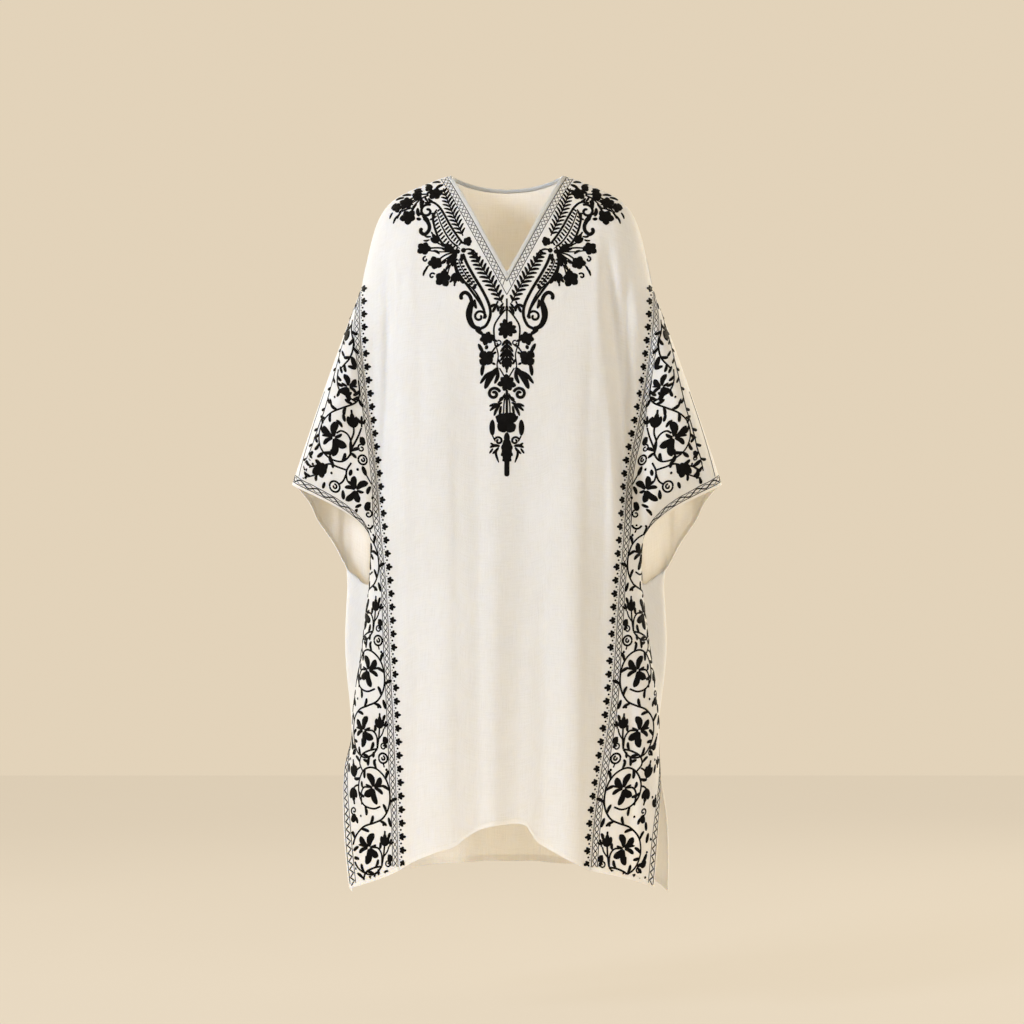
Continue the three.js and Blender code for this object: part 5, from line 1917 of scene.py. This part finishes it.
@dataclass
class ThreadWork:
    """All embroidery and hem stitching."""

    garment: Garment
    black: bpy.types.Material
    cream: bpy.types.Material

    STITCH = 2.4
    STITCH_GAP = 3.6

    def finish_piece(self, name: str, work: Embroidery, finish: bpy.types.Material) -> bpy.types.Object:
        """Turns gathered thread into a piece."""
        points, quads = np.concatenate(work.points), np.concatenate(work.quads)
        piece = make_piece(name, points, quads, finish, np.concatenate(work.grain))
        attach(piece, "root")
        return piece

    def neck(self) -> bpy.types.Object:
        """The neck and placket."""
        work = Embroidery()
        work.sew(BodyChart(self.garment), NeckPattern().strokes(), 0.75)
        return self.finish_piece("neck_embroidery", work, self.black)

    def side(self, hand: int) -> tuple[bpy.types.Object, bpy.types.Object]:
        """A side's sprouts on the body and its vines and borders on the side panel."""
        name = "left" if hand < 0 else "right"
        pattern = SidePattern()
        panel = self.garment.sides[-1, hand]
        sprouts = Embroidery()
        sprouts.sew(BodyChart(self.garment), pattern.sprouts(FRONT, hand), 0.7)
        work = Embroidery()
        chart = SideChart(panel)
        work.sew(chart, [*pattern.sleeve(), *pattern.strip()], 1.0)
        work.sew(chart, pattern.band(), clip=False)
        outer, _ = panel.faces_out()
        edge = EdgeChart(outer[:, ::-1], panel.normals[:, ::-1])
        cuff = float(edge.along[UNDERARM_ROW])
        at_cuff = Border(Filling.TWIST, 6.0, 17.5, 33.0)
        at_slit = Border(Filling.ZIGZAG, 3.2, 14.8, 14.0)
        at_ridge = Border(Filling.TWIST, 38.0, 55.0, 30.0)
        work.sew(edge, at_cuff.strokes(6, cuff - 2), clip=False)
        work.sew(edge, at_slit.strokes(cuff + 2, edge.length - 4), clip=False)
        ridge = EdgeChart(outer.transpose(1, 0, 2), panel.normals.transpose(1, 0, 2))
        work.sew(ridge, at_ridge.strokes(190, ridge.length - 20), clip=False)
        return (
            self.finish_piece(f"sprout_embroidery_{name}", sprouts, self.black),
            self.finish_piece(f"side_embroidery_{name}", work, self.black),
        )

    def edge_of(self, panel: Panel) -> list[tuple[EdgeChart, float, float]]:
        """The free edges of a panel, each with where its stitching starts and ends."""
        outer, _ = panel.faces_out()
        bottom = EdgeChart(outer[::-1].transpose(1, 0, 2), panel.normals[::-1].transpose(1, 0, 2))
        found = [(bottom, 0.0, bottom.length)]
        if panel.name.startswith("side"):
            edge = EdgeChart(outer[:, ::-1], panel.normals[:, ::-1])
            cuff = float(edge.along[UNDERARM_ROW])
            slit = float(edge.along[SLIT_ROW])
            found += [(edge, 4.0, cuff - 4), (edge, slit + 4, edge.length - HEM_WIDTH)]
        return found

    def stitching(self) -> bpy.types.Object:
        """Small cream stitches along every hem."""
        work = Embroidery()
        for panel in self.garment.panels():
            for chart, start, end in self.edge_of(panel):
                for u in np.arange(start + 1, end - self.STITCH, self.STITCH_GAP):
                    line = np.array([(u, HEM_WIDTH - 1), (u + self.STITCH / 2, HEM_WIDTH - 1),
                                     (u + self.STITCH, HEM_WIDTH - 1)])
                    work.lay(chart, line, np.array([0.3, 0.6, 0.3]))
        return self.finish_piece("hem_stitching", work, self.cream)


@dataclass
class Studio:
    """Camera, lights and floor."""

    eye: tuple[float, float, float] = (0.009, -4.350, -0.605)
    lens: float = 85.0
    backdrop_colour: tuple[float, float, float] = (0.765, 0.65, 0.49)
    ambient: float = 0.66
    spread: float = 90.0

    def camera(self) -> None:
        """Looks level at the front."""
        data = bpy.data.cameras.new("camera")
        data.lens = self.lens
        data.sensor_width = 36.0
        camera = bpy.data.objects.new("camera", data)
        camera.location = self.eye
        camera.rotation_euler = (math.pi / 2, 0, 0)
        bpy.context.scene.collection.objects.link(camera)
        bpy.context.scene.camera = camera

    def light(self, name: str, place: tuple[float, float, float], size: float, watts: float,
              colour: tuple[float, float, float] = (1, 1, 1)) -> None:
        """Adds a soft square light that faces the garment."""
        data = bpy.data.lights.new(name, "AREA")
        data.size = size
        data.energy = watts
        data.color = colour
        data.spread = math.radians(self.spread)
        light = bpy.data.objects.new(name, data)
        light.location = place
        aim = np.array([0, 0, -0.6]) - np.array(place)
        yaw = math.atan2(aim[1], aim[0])
        pitch = math.atan2(math.hypot(aim[0], aim[1]), -aim[2])
        light.rotation_euler = (pitch, 0, yaw - math.pi / 2)
        bpy.context.scene.collection.objects.link(light)

    def backdrop(self) -> bpy.types.World:
        """A plain warm backdrop that lights the garment more softly than it shows."""
        world = bpy.data.worlds.new("studio")
        world.use_nodes = True
        tree = world.node_tree
        seen = tree.nodes["Background"]
        seen.inputs[0].default_value = (*self.backdrop_colour, 1)
        cast = tree.nodes.new("ShaderNodeBackground")
        cast.inputs[0].default_value = (*self.backdrop_colour, 1)
        cast.inputs[1].default_value = self.ambient
        choice = tree.nodes.new("ShaderNodeMixShader")
        path = tree.nodes.new("ShaderNodeLightPath")
        tree.links.new(path.outputs["Is Camera Ray"], choice.inputs[0])
        tree.links.new(cast.outputs[0], choice.inputs[1])
        tree.links.new(seen.outputs[0], choice.inputs[2])
        tree.links.new(choice.outputs[0], tree.nodes["World Output"].inputs["Surface"])
        return world

    def build(self) -> None:
        """Sets up everything."""
        self.camera()
        self.light("key", (-3.4, -2.5, 1.2), 1.1, 34, (0.87, 0.92, 1.0))
        self.light("right", (2.4, -3.7, 0.2), 1.8, 16, (1.0, 0.92, 0.8))
        self.light("back_left", (-2.6, 2.6, 0.7), 1.4, 16, (1.0, 0.92, 0.76))
        self.light("back_right", (2.6, 2.8, 0.1), 1.6, 24, (1.0, 0.88, 0.66))
        scene = bpy.context.scene
        scene.world = self.backdrop()
        scene.view_settings.view_transform = "Standard"
        half = 4000.0
        corners = np.array([(-half, -half, FLOOR_Z), (half, -half, FLOOR_Z), (half, half, FLOOR_Z),
                            (-half, half, FLOOR_Z)])
        floor = make_piece("floor", corners, np.array([[0, 1, 2, 3]]), PaleFloor("pale_floor").material())


def main() -> None:
    """Builds the studio, the cloth, the binding and the thread."""
    logging.basicConfig(level=logging.INFO, format="%(name)s: %(message)s")
    Studio().build()
    garment = Garment()
    cloth = ClothPieces(garment, WovenCotton("cream_cotton").material())
    pieces = {panel.name: cloth.build(panel) for panel in garment.panels()}
    binding_finish = WovenCotton("binding_cotton", (0.92, 0.88, 0.78), (0.86, 0.82, 0.71), 0.3)
    binding = NeckBinding(garment, binding_finish.material())
    strip = binding.build()
    black = SewnThread("black_thread").material()
    cream = SewnThread("cream_thread", (0.82, 0.78, 0.68), (0.72, 0.67, 0.56), 0.75).material()
    thread = ThreadWork(garment, black, cream)
    neck = thread.neck()
    sewn: dict[str, list[bpy.types.Object]] = {"front_panel": [neck]}
    for hand, side in ((-1, "left"), (1, "right")):
        sprouts, vines = thread.side(hand)
        sewn["front_panel"].append(sprouts)
        sewn[f"side_front_{side}"] = [vines]
    sewn["back_panel"] = [thread.stitching()]
    cloth.declare(pieces, sewn)
    binding.declare(strip, pieces["front_panel"])
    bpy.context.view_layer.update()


if __name__ == "__main__":
    main()
